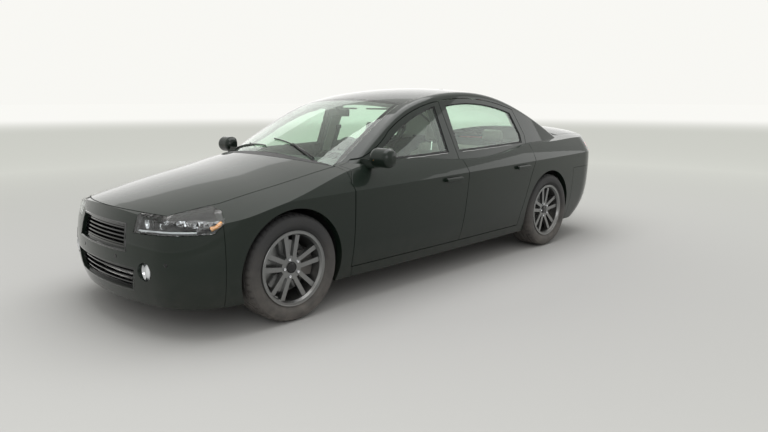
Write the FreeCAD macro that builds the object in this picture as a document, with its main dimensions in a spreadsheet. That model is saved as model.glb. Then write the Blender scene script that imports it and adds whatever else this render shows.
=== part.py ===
# A four-door sedan car, built as separate body panels, glass, doors, wheels, cabin and running gear.
# Frame: +X is forwards, +Y is the car's left, +Z is up, and the origin is on the ground under the
# middle of the body. Lengths are millimetres.
import FreeCAD, Part
import Sketcher
import math
import os
from FreeCAD import Matrix, Placement, Rotation, Vector

doc = FreeCAD.newDocument("SedanCar")

# Driving dimensions: alias, value, meaning
DIMENSIONS = [
    ("body_length", 4900, "bumper to bumper"),
    ("body_width", 1860, "widest part of the body, without mirrors"),
    ("body_height", 1462, "ground to the top of the roof"),
    ("wheelbase", 2960, "front axle to rear axle"),
    ("front_overhang", 842, "front axle to the nose"),
    ("belt_height", 958, "ground to the lower edge of the side glass"),
    ("shoulder_height", 800, "ground to the crease under the side glass, at mid length"),
    ("sill_height", 186, "ground to the lower edge of the sills and bumpers"),
    ("stance_slope", 1.3, "rise of the body lines towards the rear, degrees"),
    ("side_arc_radius", 80000, "bow of the body sides seen from above"),
    ("nose_arc_radius", 1950, "bow of the nose seen from above"),
    ("tail_arc_radius", 2700, "bow of the tail seen from above"),
    ("tumblehome", 24, "lean of the side glass, degrees"),
    ("rail_radius", 62, "rounding between side glass and roof"),
    ("wall_thickness", 58, "doors, sides, fenders and bumpers"),
    ("lid_thickness", 24, "hood and trunk lid"),
    ("pillar_thickness", 44, "roof, pillars and door frames"),
    ("glass_thickness", 5, "every window"),
    ("glass_setback", 9, "side glass behind the outer skin"),
    ("panel_gap", 6, "gap round a panel that moves"),
    ("seam_gap", 3, "gap between panels that stay"),
    ("seat_clearance", 0.3, "running clearance between pieces that touch"),
    ("door_front", 486, "front axle to the front edge of the front door"),
    ("b_post", 1640, "front axle to the gap between the doors"),
    ("door_sill", 262, "ground to the lower edge of the doors"),
    ("door_lean", 20, "lean of the door edges, degrees, so that they clear as they swing"),
    ("arch_radius", 376, "wheel arch opening"),
    ("liner_radius", 404, "inside of the front arch liner"),
    ("liner_thickness", 4, "arch liners"),
    ("wheel_track", 1566, "left tyre centre to right tyre centre"),
    ("tyre_radius", 339, "tyre outside"),
    ("tyre_width", 245, "tyre section"),
    ("rim_radius", 238, "rim flange outside"),
    ("rim_width", 216, "rim over its flanges"),
    ("barrel_radius", 208, "inside of the rim barrel"),
    ("hub_radius", 74, "centre of the wheel"),
    ("spoke_pairs", 5, "pairs of spokes in a wheel"),
    ("handle_length", 190, "door handles"),
    ("fog_radius", 54, "fog lamp pockets in the front bumper"),
    ("engine_width", 580, "engine block across the car"),
    ("radiator_width", 800, "opening of the radiator frame"),
    ("disc_radius", 165, "brake disc"),
    ("kingpin_inset", 76, "tyre centre inboard to the steering axis"),
]

sheet = doc.addObject("Spreadsheet::Sheet", "Sizes")
for row, (alias, value, meaning) in enumerate(DIMENSIONS, 1):
    sheet.set(f"A{row}", meaning)
    sheet.set(f"B{row}", str(value))
    sheet.setAlias(f"B{row}", alias)
doc.recompute()


def size(alias):
    return float(getattr(sheet, alias))


LENGTH = size("body_length")
HALF_WIDTH = size("body_width") / 2
ROOF = size("body_height")
BELT = size("belt_height")
SHOULDER = size("shoulder_height")
SILL = size("sill_height")
WALL = size("wall_thickness")
PILLAR = size("pillar_thickness")
GAP = size("panel_gap")
SEAM = size("seam_gap")
CLEAR = size("seat_clearance")
TUMBLE = math.radians(size("tumblehome"))
SLOPE = math.tan(math.radians(size("stance_slope")))
LEAN = math.tan(math.radians(size("door_lean")))
ARCH = size("arch_radius")
TYRE_R = size("tyre_radius")
TYRE_Y = size("wheel_track") / 2
NOSE_X = LENGTH / 2
TAIL_X = -LENGTH / 2
FRONT_AXLE_X = NOSE_X - size("front_overhang")
REAR_AXLE_X = FRONT_AXLE_X - size("wheelbase")
OUTSIDE_Y = HALF_WIDTH + 170
FAR = 3000


def aft(distance):
    """X of a place that lies a distance behind the front axle."""
    return FRONT_AXLE_X - distance


def aft_rear(distance):
    """X of a place that lies a distance behind the rear axle."""
    return REAR_AXLE_X - distance


# Plain solid helpers
def largest(shape):
    return max(shape.Solids, key=lambda solid: solid.Volume)


def block(x0, x1, y0, y1, z0, z1):
    low = Vector(min(x0, x1), min(y0, y1), min(z0, z1))
    return Part.makeBox(abs(x1 - x0), abs(y1 - y0), abs(z1 - z0), low)


def mirrored(shape):
    return shape.mirror(Vector(0, 0, 0), Vector(0, 1, 0))


def cylinder_y(x, z, radius, y0, y1):
    return Part.makeCylinder(radius, y1 - y0, Vector(x, y0, z), Vector(0, 1, 0))


def wire_of(points, plane):
    """A closed wire. Each entry is (a, b) for a straight run to it, or (a, b, through_a, through_b)
    for an arc to it, in the side (x, z), front (y, z) or plan (x, y) plane."""
    place = {
        "side": lambda a, b: Vector(a, OUTSIDE_Y, b),
        "front": lambda a, b: Vector(0, a, b),
        "plan": lambda a, b: Vector(a, b, 0),
    }[plane]
    edges = []
    before = place(*points[-1][:2])
    for entry in points:
        here = place(*entry[:2])
        if len(entry) == 4:
            edges.append(Part.Arc(before, place(*entry[2:]), here).toShape())
        else:
            edges.append(Part.LineSegment(before, here).toShape())
        before = here
    return Part.Wire(edges)


def prism(points, plane, reach, grow=0.0, start=None):
    """A closed outline pushed along reach. grow widens the outline on every side."""
    wire = wire_of(points, plane)
    if start is not None:
        wire.translate(start)
    if grow:
        wire = wire.makeOffset2D(grow)
    return Part.Face(wire).extrude(reach)


# Lower body: plan outlines stacked from the sills to the deck
# height, side inset, nose setback, tail setback, front corner radius, rear corner radius
SIDE_LEVELS = [
    (60, 128, 150, 260, 400, 380),
    (200, 62, 52, 120, 420, 380),
    (330, 30, 8, 38, 440, 380),
    (500, 10, 0, 4, 460, 380),
    (660, 2, 26, 6, 470, 370),
    (None, 0, 84, 18, 480, 360),
]
SHOULDER_LEVELS = [
    (None, 0, 84, 18, 480, 360),
    (84, 52, 215, 26, 500, 350),
    (176, 130, 400, 34, 500, 340),
    (330, 252, 660, 60, 500, 330),
]


def touching_circle(centre_a, radius_a, centre_b, radius_b, radius, sign):
    """Centre of the circle that touches two larger circles from inside, at the sign's end of X."""
    reach_a = radius_a - radius
    reach_b = radius_b - radius
    between = centre_b - centre_a
    span = between.Length
    along = (reach_a**2 - reach_b**2 + span**2) / (2 * span)
    across = math.sqrt(max(reach_a**2 - along**2, 0))
    unit = between / span
    normal = Vector(-unit.y, unit.x, 0)
    found = [centre_a + unit * along + normal * (side * across) for side in (1, -1)]
    return max(found, key=lambda point: sign * point.x)


def plan_outline(height, side_inset, nose_back, tail_back, front_corner, rear_corner, inset):
    """One level of the lower body: eight arcs, tangent to each other, inset all round."""
    middle_x = (FRONT_AXLE_X + REAR_AXLE_X) / 2
    side_r = size("side_arc_radius") - inset
    side_centre = Vector(middle_x, HALF_WIDTH - side_inset - inset - side_r, 0)
    ends = []
    for sign, tip_x, end_r, corner_r in (
        (1, NOSE_X - nose_back - inset, size("nose_arc_radius") - inset, front_corner - inset),
        (-1, TAIL_X + tail_back + inset, size("tail_arc_radius") - inset, rear_corner - inset),
    ):
        end_centre = Vector(tip_x - sign * end_r, 0, 0)
        centre = touching_circle(end_centre, end_r, side_centre, side_r, corner_r, sign)
        on_end = end_centre + (centre - end_centre).normalize() * end_r
        on_side = side_centre + (centre - side_centre).normalize() * side_r
        to_end = (on_end - centre).normalize()
        to_side = (on_side - centre).normalize()
        through = centre + (to_end + to_side).normalize() * corner_r
        ends.append((Vector(tip_x, 0, 0), on_end, through, on_side))
    (nose, nose_end, nose_mid, nose_side), (tail, tail_end, tail_mid, tail_side) = ends
    side_top = side_centre + Vector(0, side_r, 0)

    def right(point):
        return Vector(point.x, -point.y, 0)

    arcs = [
        (right(nose_end), nose, nose_end),
        (nose_end, nose_mid, nose_side),
        (nose_side, side_top, tail_side),
        (tail_side, tail_mid, tail_end),
        (tail_end, tail, right(tail_end)),
        (right(tail_end), right(tail_mid), right(tail_side)),
        (right(tail_side), right(side_top), right(nose_side)),
        (right(nose_side), right(nose_mid), right(nose_end)),
    ]
    wire = Part.Wire([Part.Arc(*arc).toShape() for arc in arcs])
    wire.translate(Vector(0, 0, height))
    return wire


def body_sides(inset):
    """The lower body's sides, nose and tail, with a crease at the shoulder, sheared to its stance."""
    lower = [
        plan_outline(height if height is not None else SHOULDER, *rest, inset)
        for height, *rest in SIDE_LEVELS
    ]
    upper = [
        plan_outline(SHOULDER + (rise or 0), *rest, inset) for rise, *rest in SHOULDER_LEVELS
    ]
    solid = Part.makeLoft(lower, True).fuse(Part.makeLoft(upper, True))
    shear = Matrix()
    shear.A31 = -SLOPE
    solid = solid.transformGeometry(shear)
    if inset:
        return solid
    return solid.cut(block(-FAR, FAR, -FAR, FAR, -FAR, SILL))


# Hood, cowl and deck: axle, distance behind it, height at the centre line, crown radius
TOP_STATIONS = [
    ("front", -960, 600, 2500),
    ("front", -800, 712, 2600),
    ("front", -560, 790, 2800),
    ("front", -200, 868, 3100),
    ("front", 180, 940, 3400),
    ("front", 520, 1003, 3600),
    ("front", 1200, 1020, 4000),
    ("rear", -500, 1030, 4000),
    ("rear", 250, 1070, 3600),
    ("rear", 620, 1092, 3200),
    ("rear", 960, 1086, 3000),
    ("rear", 1300, 1050, 3000),
]


def station_x(axle, distance):
    return aft(distance) if axle == "front" else aft_rear(distance)


def body_top(inset):
    """Everything below the hood, cowl and deck surface."""
    sections = []
    edge_y = HALF_WIDTH + 100
    for axle, distance, height, crown_r in TOP_STATIONS:
        x = station_x(axle, distance)
        top = height - inset
        radius = crown_r - inset
        side_z = top - radius + math.sqrt(radius**2 - edge_y**2)
        corners = [Vector(x, -edge_y, side_z), Vector(x, edge_y, side_z)]
        feet = [Vector(x, edge_y, 0), Vector(x, -edge_y, 0)]
        sections.append(
            Part.Wire(
                [
                    Part.Arc(corners[0], Vector(x, 0, top), corners[1]).toShape(),
                    Part.LineSegment(corners[1], feet[0]).toShape(),
                    Part.LineSegment(feet[0], feet[1]).toShape(),
                    Part.LineSegment(feet[1], corners[0]).toShape(),
                ]
            )
        )
    return Part.makeLoft(sections, True)


# Greenhouse: axle, distance behind it, share of the height from belt to roof, half width at the
# belt, crown radius
CABIN_STATIONS = [
    ("front", 385, -0.01, 749, 1900),
    ("front", 440, 0.06, 752, 1950),
    ("front", 700, 0.345, 778, 2100),
    ("front", 1000, 0.630, 797, 2500),
    ("front", 1300, 0.840, 808, 3400),
    ("front", 1620, 0.955, 815, 4300),
    ("front", 1950, 1.0, 817, 4600),
    ("rear", -680, 0.975, 812, 4300),
    ("rear", -300, 0.840, 800, 3200),
    ("rear", 50, 0.610, 782, 2500),
    ("rear", 360, 0.350, 756, 2100),
    ("rear", 640, 0.09, 726, 1950),
]
CABIN_FOOT = 620
CABIN_WAIST = 215
CABIN_FLARE = 10
CABIN_STEP = 15


def cabin_section_points(height, half_width, crown_r, inset):
    """The left half of one greenhouse section: foot, waist, side tangent, corner, crown tangent."""
    radius = size("rail_radius") - min(inset, size("rail_radius") - 12)
    crown = crown_r - inset
    crown_z = height - inset - crown
    outwards = Vector(0, math.cos(TUMBLE), math.sin(TUMBLE))
    upwards = Vector(0, -math.sin(TUMBLE), math.cos(TUMBLE))
    belt_point = Vector(0, half_width, BELT) - outwards * inset
    start = belt_point - outwards * radius
    centre_k = Vector(0, 0, crown_z)
    offset = start - centre_k
    half_b = offset.dot(upwards)
    rest = offset.dot(offset) - (crown - radius) ** 2
    travel = -half_b + math.sqrt(max(half_b**2 - rest, 0))
    corner = start + upwards * travel
    on_side = corner + outwards * radius
    on_crown = centre_k + (corner - centre_k).normalize() * crown
    middle = corner + ((on_side - corner) + (on_crown - corner)).normalize() * radius
    waist_z = min(BELT - CABIN_WAIST, on_side.z - CABIN_STEP)
    waist = on_side - upwards * ((on_side.z - waist_z) / math.cos(TUMBLE))
    foot = Vector(0, belt_point.y + CABIN_FLARE, min(CABIN_FOOT, waist_z - CABIN_STEP))
    return foot, waist, on_side, middle, on_crown


def station_height(share):
    return BELT + share * (ROOF - BELT)


def cabin_shell(inset):
    """The greenhouse, from windscreen to rear window, inset all round."""
    sections = []
    for axle, distance, share, half_width, crown_r in CABIN_STATIONS:
        x = station_x(axle, distance)
        height = station_height(share)
        foot, waist, side, middle, crown = cabin_section_points(height, half_width, crown_r, inset)
        top = Vector(0, 0, height - inset)

        def left(point):
            return Vector(x, point.y, point.z)

        def right(point):
            return Vector(x, -point.y, point.z)

        sections.append(
            Part.Wire(
                [
                    Part.LineSegment(right(foot), left(foot)).toShape(),
                    Part.LineSegment(left(foot), left(waist)).toShape(),
                    Part.LineSegment(left(waist), left(side)).toShape(),
                    Part.Arc(left(side), left(middle), left(crown)).toShape(),
                    Part.Arc(left(crown), left(top), right(crown)).toShape(),
                    Part.Arc(right(crown), right(middle), right(side)).toShape(),
                    Part.LineSegment(right(side), right(waist)).toShape(),
                    Part.LineSegment(right(waist), right(foot)).toShape(),
                ]
            )
        )
    return Part.makeLoft(sections, True)


def rail_point(x):
    """Height of the roof rail's lower edge at x, read between the greenhouse stations."""
    rows = []
    for axle, distance, share, half_width, crown_r in CABIN_STATIONS:
        side = cabin_section_points(station_height(share), half_width, crown_r, 0)[2]
        rows.append((station_x(axle, distance), side.z))
    for (x0, z0), (x1, z1) in zip(rows, rows[1:]):
        if x1 <= x <= x0:
            return z0 + (z1 - z0) * (x0 - x) / (x0 - x1)
    raise ValueError("no greenhouse at this station")


outer_top = body_top(0)
outer_cabin = cabin_shell(0)
outer = body_sides(0).common(outer_top).fuse(outer_cabin)
inner_cabin = cabin_shell(PILLAR)
inner_lower = body_sides(WALL).common(body_top(size("lid_thickness")))
inner = inner_lower.fuse(inner_cabin)
wall = outer.cut(inner)
arches = [
    cylinder_y(x, TYRE_R, ARCH, side * 800 - 300, side * 800 + 300)
    for x in (FRONT_AXLE_X, REAR_AXLE_X)
    for side in (1, -1)
]
wall = wall.cut(Part.makeCompound(arches))


def rise(x):
    """How far the body lines have climbed at x."""
    return -SLOPE * x


def skin_y(z):
    """Distance of the door skin from the middle at a height, near enough for the door edges."""
    if z < BELT - 110:
        return HALF_WIDTH - 14
    return HALF_WIDTH - 112 - (z - BELT) * math.tan(TUMBLE)


def door_prism(points, grow, reach):
    """A door outline from (x, z) points, pushed inwards and forwards along the lean of its edges."""
    leaned = []
    for entry in points:
        pairs = [entry[:2]] + ([entry[2:]] if len(entry) == 4 else [])
        moved = []
        for x, z in pairs:
            moved += [x - LEAN * (OUTSIDE_Y - skin_y(z)), z]
        leaned.append(tuple(moved))
    return prism(leaned, "side", Vector(LEAN * reach, -reach, 0), grow)


def side_prism(points, grow=0.0, reach=OUTSIDE_Y):
    return prism(points, "side", Vector(0, -reach, 0), grow)


def plan_prism(points, grow=0.0):
    return prism(points, "plan", Vector(0, 0, 2000), grow)


def front_prism(points, x0, x1, grow=0.0):
    return prism(points, "front", Vector(x1 - x0, 0, 0), grow, Vector(x0, 0, 0))


# Doors and side glass, seen from the side: (x, z) or (x, z, through x, through z)
DOOR_Z = size("door_sill")
DOOR_A = size("door_front")
POST_A = size("b_post")
RAIL_DROP = 16
GLASS_DROP = 52


def below_rail(distance, axle="front", drop=RAIL_DROP):
    x = station_x(axle, distance)
    return x, rail_point(x) - drop


post_x = aft(POST_A)
front_post = post_x + GAP / 2
rear_post = post_x - GAP / 2
FRONT_DOOR = [
    (aft(DOOR_A), DOOR_Z),
    (aft(DOOR_A), SHOULDER + 20),
    (aft(DOOR_A + 66), BELT - 25),
    (*below_rail(DOOR_A + 514), *below_rail(DOOR_A + 300)),
    (front_post, below_rail(POST_A)[1], *below_rail(DOOR_A + 834)),
    (front_post, DOOR_Z),
]
FRONT_WINDOW = [
    (aft(DOOR_A + 236), BELT + rise(aft(DOOR_A + 236))),
    (*below_rail(DOOR_A + 544, drop=GLASS_DROP), *below_rail(DOOR_A + 390, drop=GLASS_DROP)),
    (post_x + 66, below_rail(POST_A)[1] - 36, *below_rail(DOOR_A + 834, drop=GLASS_DROP)),
    (post_x + 66, BELT + rise(post_x)),
]
tail_gap = aft_rear(-415)
REAR_DOOR = [
    (rear_post, DOOR_Z),
    (rear_post, below_rail(POST_A)[1]),
    (aft_rear(-300), below_rail(-300, "rear")[1], *below_rail(-830, "rear")),
    (aft_rear(-232), BELT + 90),
    (aft_rear(-268), BELT - 40),
    (aft_rear(-350), SHOULDER - 110),
    (tail_gap, TYRE_R + 165),
    (aft_rear(-455), TYRE_R + 40),
    (aft_rear(-470), DOOR_Z),
]
REAR_WINDOW_SIDE = [
    (post_x - 66, BELT + rise(post_x)),
    (post_x - 66, below_rail(POST_A)[1] - 34),
    (*below_rail(-360, "rear", GLASS_DROP + 4), *below_rail(-830, "rear", GLASS_DROP)),
    (aft_rear(-305), BELT + 95),
    (aft_rear(-318), BELT + rise(aft_rear(-318))),
]

# Hood, windscreen, roof, rear window and cowls, seen from above: (x, y)
HOOD_FRONT = NOSE_X - 78
hood_outline = [
    (HOOD_FRONT - 120, -560),
    (HOOD_FRONT - 120, 560, HOOD_FRONT, 0),
    (aft(-360), 655),
    (aft(474), 722),
    (aft(474), -722, aft(322), 0),
    (aft(-360), -655),
]
windscreen_outline = [
    (aft(474), 702),
    (aft(474), -702, aft(402), 0),
    (aft(1296), -556),
    (aft(1296), 556, aft(1250), 0),
]
cowl_outline = [
    (aft(300), -690),
    (aft(300), 690),
    (aft(478), 705),
    (aft(478), -705, aft(406), 0),
]
rear_glass_outline = [
    (aft_rear(-452), -548),
    (aft_rear(-452), 548, aft_rear(-426), 0),
    (aft_rear(430), 672),
    (aft_rear(430), -672, aft_rear(498), 0),
]
deck_outline = [
    (aft_rear(420), -660),
    (aft_rear(494), 0, aft_rear(470), -395),
    (aft_rear(420), 660, aft_rear(470), 395),
    (aft_rear(476), 690),
    (aft_rear(476), -690, aft_rear(548), 0),
]
roof_outline = [
    (aft(1299), -572),
    (aft(1299), 572, aft(1253), 0),
    (aft_rear(-455), 572),
    (aft_rear(-455), -572, aft_rear(-429), 0),
]

# Lamps, lid and bumpers
headlamp_outline = [
    (NOSE_X + 40, 600),
    (NOSE_X + 40, 745),
    (NOSE_X - 400, 775),
    (NOSE_X - 440, 735),
    (NOSE_X - 330, 628),
]
LAMP_Y = 395
LAMP_STEP = 18
tail_lamp_outline = [
    (TAIL_X - 60, 790),
    (TAIL_X - 60, 925),
    (TAIL_X + 330, 935),
    (TAIL_X + 300, 850),
    (TAIL_X + 130, 790),
]
LID_Y = 512
lid_back = [
    (-LID_Y, 715),
    (LID_Y, 715),
    (LID_Y + 26, 800),
    (LID_Y + 36, 930),
    (LID_Y + 150, 990),
    (LID_Y + 150, 1300),
    (-LID_Y - 150, 1300),
    (-LID_Y - 150, 990),
    (-LID_Y - 36, 930),
    (-LID_Y - 26, 800),
]
upper_grille = [(-300, 640), (-330, 500), (330, 500), (300, 640)]
lower_grille = [(-420, 400), (-380, 270), (380, 270), (420, 400)]

left_half = block(-FAR, FAR, 0, OUTSIDE_Y, -200, 2000)
DOOR_REACH = 640
front_door_cut = door_prism(FRONT_DOOR, GAP, DOOR_REACH)
rear_door_cut = door_prism(REAR_DOOR, GAP, DOOR_REACH)
hood_cut = plan_prism(hood_outline, GAP)
panels = {}

# Doors
wall_left = wall.common(left_half)
PILLAR_WIDTH = 46
HANDLE_SETBACK = 150
windscreen_post = plan_prism(windscreen_outline, PILLAR_WIDTH)
front_door_cut = front_door_cut.cut(plan_prism(windscreen_outline, PILLAR_WIDTH - GAP))
front_door = wall_left.common(door_prism(FRONT_DOOR, 0, DOOR_REACH)).cut(windscreen_post)
front_door = front_door.cut(side_prism(FRONT_WINDOW))
rear_door = wall_left.common(door_prism(REAR_DOOR, 0, DOOR_REACH)).cut(side_prism(REAR_WINDOW_SIDE))
setback = size("glass_setback")
side_pane = cabin_shell(setback).cut(cabin_shell(setback + size("glass_thickness")))
side_pane = side_pane.common(left_half)
front_pane = side_pane.common(side_prism(FRONT_WINDOW, -CLEAR))
rear_pane = side_pane.common(side_prism(REAR_WINDOW_SIDE, -CLEAR))
HANDLE_LENGTH = size("handle_length")
HANDLE_PROUD = 30
HANDLE_DROP = 34


def skin_at(x):
    """Distance of the body side from the middle just under the crease, at x."""
    middle_x = (FRONT_AXLE_X + REAR_AXLE_X) / 2
    return HALF_WIDTH - (x - middle_x) ** 2 / (2 * size("side_arc_radius"))


def door_handle(x):
    """A bar on two feet, rounded, standing off the door skin."""
    half = HANDLE_LENGTH / 2
    skin = skin_at(x)
    z = SHOULDER - HANDLE_DROP + rise(x)
    bar = block(x - half, x + half, skin + HANDLE_PROUD - 15, skin + HANDLE_PROUD, z - 13, z + 13)
    feet = [
        block(x + side * half, x + side * (half - 26), skin - 12, skin + HANDLE_PROUD - 8, z - 9, z + 9)
        for side in (1, -1)
    ]
    return bar.makeFillet(6, bar.Edges).fuse(feet)


front_door = front_door.fuse(door_handle(post_x + HANDLE_SETBACK))
rear_door = rear_door.fuse(door_handle(aft_rear(-350) + HANDLE_SETBACK))
for label, shape in (
    ("door_front", front_door),
    ("door_rear", rear_door),
    ("door_glass_front", front_pane),
    ("door_glass_rear", rear_pane),
):
    panels[f"{label}_left"] = shape
    panels[f"{label}_right"] = mirrored(shape)

# Hood and trunk lid
panels["hood"] = largest(wall.common(plan_prism(hood_outline)).cut(block(-FAR, FAR, -FAR, FAR, 0, 640)))
lid_front = plan_prism(
    [
        (TAIL_X - 200, -FAR / 2),
        (TAIL_X - 200, FAR / 2),
        (aft_rear(482), 700),
        (aft_rear(482), -700, aft_rear(554), 0),
    ]
)
panels["trunk_lid"] = wall.common(front_prism(lid_back, TAIL_X - 200, aft_rear(400))).common(lid_front)
lid_cut = front_prism(lid_back, TAIL_X - 200, aft_rear(400), GAP).common(lid_front)
lid_cut = lid_cut.fuse(lid_cut.translated(Vector(GAP, 0, 0)))

# Glass at the front and back
pane = outer_cabin.cut(cabin_shell(size("glass_thickness")))
panels["windshield"] = pane.common(plan_prism(windscreen_outline, -CLEAR))
panels["rear_window"] = pane.common(plan_prism(rear_glass_outline, -CLEAR))

# Roof and cowls
fixed = wall.cut(hood_cut).cut(lid_cut)
fixed = fixed.cut(plan_prism(windscreen_outline)).cut(plan_prism(rear_glass_outline))
for cut_shape in (front_door_cut, rear_door_cut):
    fixed = fixed.cut(cut_shape).cut(mirrored(cut_shape))
panels["roof_panel"] = fixed.common(plan_prism(roof_outline))
upper_zone = block(-FAR, FAR, -FAR, FAR, 880, 2000)
front_cowl = fixed.common(plan_prism(cowl_outline)).common(upper_zone)
rear_cowl = fixed.common(plan_prism(deck_outline)).common(upper_zone)
panels["cowls"] = Part.makeCompound([front_cowl, rear_cowl])

# Nose and tail
lamp_zone = side_prism(headlamp_outline, 0, OUTSIDE_Y - LAMP_Y)
lamp_cut = side_prism(headlamp_outline, SEAM, OUTSIDE_Y - LAMP_Y + SEAM)
lamp_root = body_sides(LAMP_STEP)
root_grow = SEAM - CLEAR
head_root = side_prism(headlamp_outline, root_grow, OUTSIDE_Y - LAMP_Y + root_grow)
headlamp = fixed.common(lamp_zone.fuse(head_root.common(lamp_root)))
tail_zone = side_prism(tail_lamp_outline, 0, OUTSIDE_Y - 400)
tail_cut = side_prism(tail_lamp_outline, SEAM, OUTSIDE_Y - 400 + SEAM)
tail_root = side_prism(tail_lamp_outline, root_grow, OUTSIDE_Y - 400 + root_grow)
tail_lamp = fixed.common(tail_zone.fuse(tail_root.common(lamp_root)))
panels["headlamps"] = Part.makeCompound([headlamp, mirrored(headlamp)])
panels["tail_lamps"] = Part.makeCompound([tail_lamp, mirrored(tail_lamp)])
shell = fixed.cut(plan_prism(roof_outline, SEAM)).cut(plan_prism(cowl_outline, SEAM).common(upper_zone))
shell = shell.cut(plan_prism(deck_outline, SEAM).common(upper_zone))
for cut_shape in (lamp_cut, tail_cut):
    shell = shell.cut(cut_shape).cut(mirrored(cut_shape))

NOSE_SEAM = aft(-ARCH - 90)
front_zone = block(NOSE_SEAM, FAR, -FAR, FAR, 0, 2000)
front_bumper = shell.common(front_zone)
nose_reach = (NOSE_X - 260, NOSE_X + 60)
for outline in (upper_grille, lower_grille):
    front_bumper = front_bumper.cut(front_prism(outline, *nose_reach))
FOG_Y, FOG_Z = 505, 392
for side in (1, -1):
    pocket = Part.makeCylinder(size("fog_radius"), 300, Vector(NOSE_X - 100, side * FOG_Y, FOG_Z), Vector(1, 0, 0))
    front_bumper = front_bumper.cut(pocket)
panels["front_bumper"] = largest(front_bumper)
TAIL_SEAM = aft_rear(ARCH + 70)
BUMPER_TOP = 706
rear_zone = block(TAIL_SEAM, -FAR, -FAR, FAR, 0, BUMPER_TOP)
panels["rear_bumper"] = largest(shell.common(rear_zone))
fender_zone = block(NOSE_SEAM - SEAM, aft(480), 0, FAR, 0, 2000)
fender = largest(shell.common(fender_zone))
panels["front_fenders"] = Part.makeCompound([fender, mirrored(fender)])
side_zone = block(aft(480) - SEAM, -FAR, 0, FAR, 0, 2000)
rear_keepout = block(TAIL_SEAM + SEAM, -FAR, -FAR, FAR, 0, BUMPER_TOP + SEAM)
body_side = largest(shell.common(side_zone).cut(rear_keepout))

# Inner post between the doors, joined to the sill and the roof rail
FLOOR_TOP = 222
POST_DEPTH = 45
LID = size("lid_thickness")


def inner_mass(clear):
    """The hollow of the body, pulled in by clear."""
    lower = body_sides(WALL + clear).common(body_top(LID + clear))
    return lower.fuse(cabin_shell(PILLAR + clear))


post_outer = inner_mass(GAP)
post_inner = inner_mass(GAP + POST_DEPTH)
post_band = (post_x - 62, post_x + 62)
post_layer = post_outer.cut(post_inner).common(
    block(*post_band, 400, FAR, FLOOR_TOP + CLEAR, ROOF - 30)
)
foot = wall_left.fuse(inner_lower).cut(post_inner).common(
    block(*post_band, 500, FAR, FLOOR_TOP + CLEAR, DOOR_Z - GAP)
)
head_low = rail_point(post_x) - RAIL_DROP + GAP + 4
head = outer_cabin.cut(post_inner).common(block(*post_band, 575, 720, head_low, ROOF))
head = head.cut(plan_prism(roof_outline, SEAM))
pads = [block(post_x + 8, post_x + 55, 400, FAR, 480, 560), block(post_x - 55, post_x - 16, 400, FAR, 480, 560)]
pads = Part.makeCompound(pads).common(inner_mass(CLEAR)).cut(inner_mass(GAP + 4))
body_side = body_side.fuse([post_layer.cut(plan_prism(roof_outline, SEAM)), foot, head])
for cut_shape in (front_door_cut, rear_door_cut):
    body_side = body_side.cut(cut_shape.cut(post_outer))
panels["body_side_left"] = body_side.fuse(pads).removeSplitter()
panels["body_side_right"] = mirrored(panels["body_side_left"])


def name_part(label, shape, place=Vector(0, 0, 0)):
    """A body panel or other free-form piece as one object of its own."""
    piece = doc.addObject("Part::Feature", label)
    piece.Label = label
    piece.Shape = shape
    piece.Placement = Placement(place, Rotation())
    return piece


AXLE_F = "(Sizes.body_length / 2 - Sizes.front_overhang)"
AXLE_R = "(Sizes.body_length / 2 - Sizes.front_overhang - Sizes.wheelbase)"


def bound_box(label, x, y, z, length, width, height):
    """A box whose place and size are expressions of the named sizes; x, y, z is its low corner."""
    box = doc.addObject("Part::Box", label)
    for prop, text in zip(
        ("Length", "Width", "Height", "Placement.Base.x", "Placement.Base.y", "Placement.Base.z"),
        (length, width, height, x, y, z),
    ):
        box.setExpression(prop, str(text))
    return box


def fused(label, tools):
    joint = doc.addObject("Part::MultiFuse", label)
    joint.Shapes = tools
    return joint


# Tyre: half the width times the sign plus an offset, then a radius plus an offset
TYRE_HALF = [
    ("rim_width", -12.3, "rim_radius", -8.7),
    ("rim_width", -8.4, "rim_radius", 0.4),
    ("rim_width", -2, "rim_radius", 10),
    ("tyre_width", -2, "rim_radius", 38),
    ("tyre_width", -1, "rim_radius", 58),
    ("tyre_width", -12, "tyre_radius", -14),
    ("tyre_width", -30, "tyre_radius", -3),
]
TYRE_CROWN = [(-20, 0), (20, 0)]
TYRE_INSIDE = [
    ("rim_width", -14, "rim_radius", 2),
    ("tyre_width", -14, "rim_radius", 44),
    ("tyre_width", -24, "tyre_radius", -26),
]


def profile_point(sign, across, offset, radius, rise_by):
    """A profile point as expressions of the named sizes, with its present numbers."""
    across_text = f"{sign} * (Sizes.{across} / 2 + {offset})".replace("+ -", "- ")
    radius_text = f"Sizes.{radius} + {rise_by}".replace("+ -", "- ")
    numbers = (sign * (size(across) / 2 + offset), size(radius) + rise_by)
    return across_text, radius_text, numbers


def tyre_profile():
    outside = [profile_point(-1, *row) for row in TYRE_HALF]
    crown = [
        (f"{across}", f"Sizes.tyre_radius + {drop}", (across, size("tyre_radius") + drop))
        for across, drop in TYRE_CROWN
    ]
    outside += crown + [profile_point(1, *row) for row in reversed(TYRE_HALF)]
    inside = [profile_point(1, *row) for row in TYRE_INSIDE]
    inside += [profile_point(-1, *row) for row in reversed(TYRE_INSIDE)]
    return outside + inside


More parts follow.
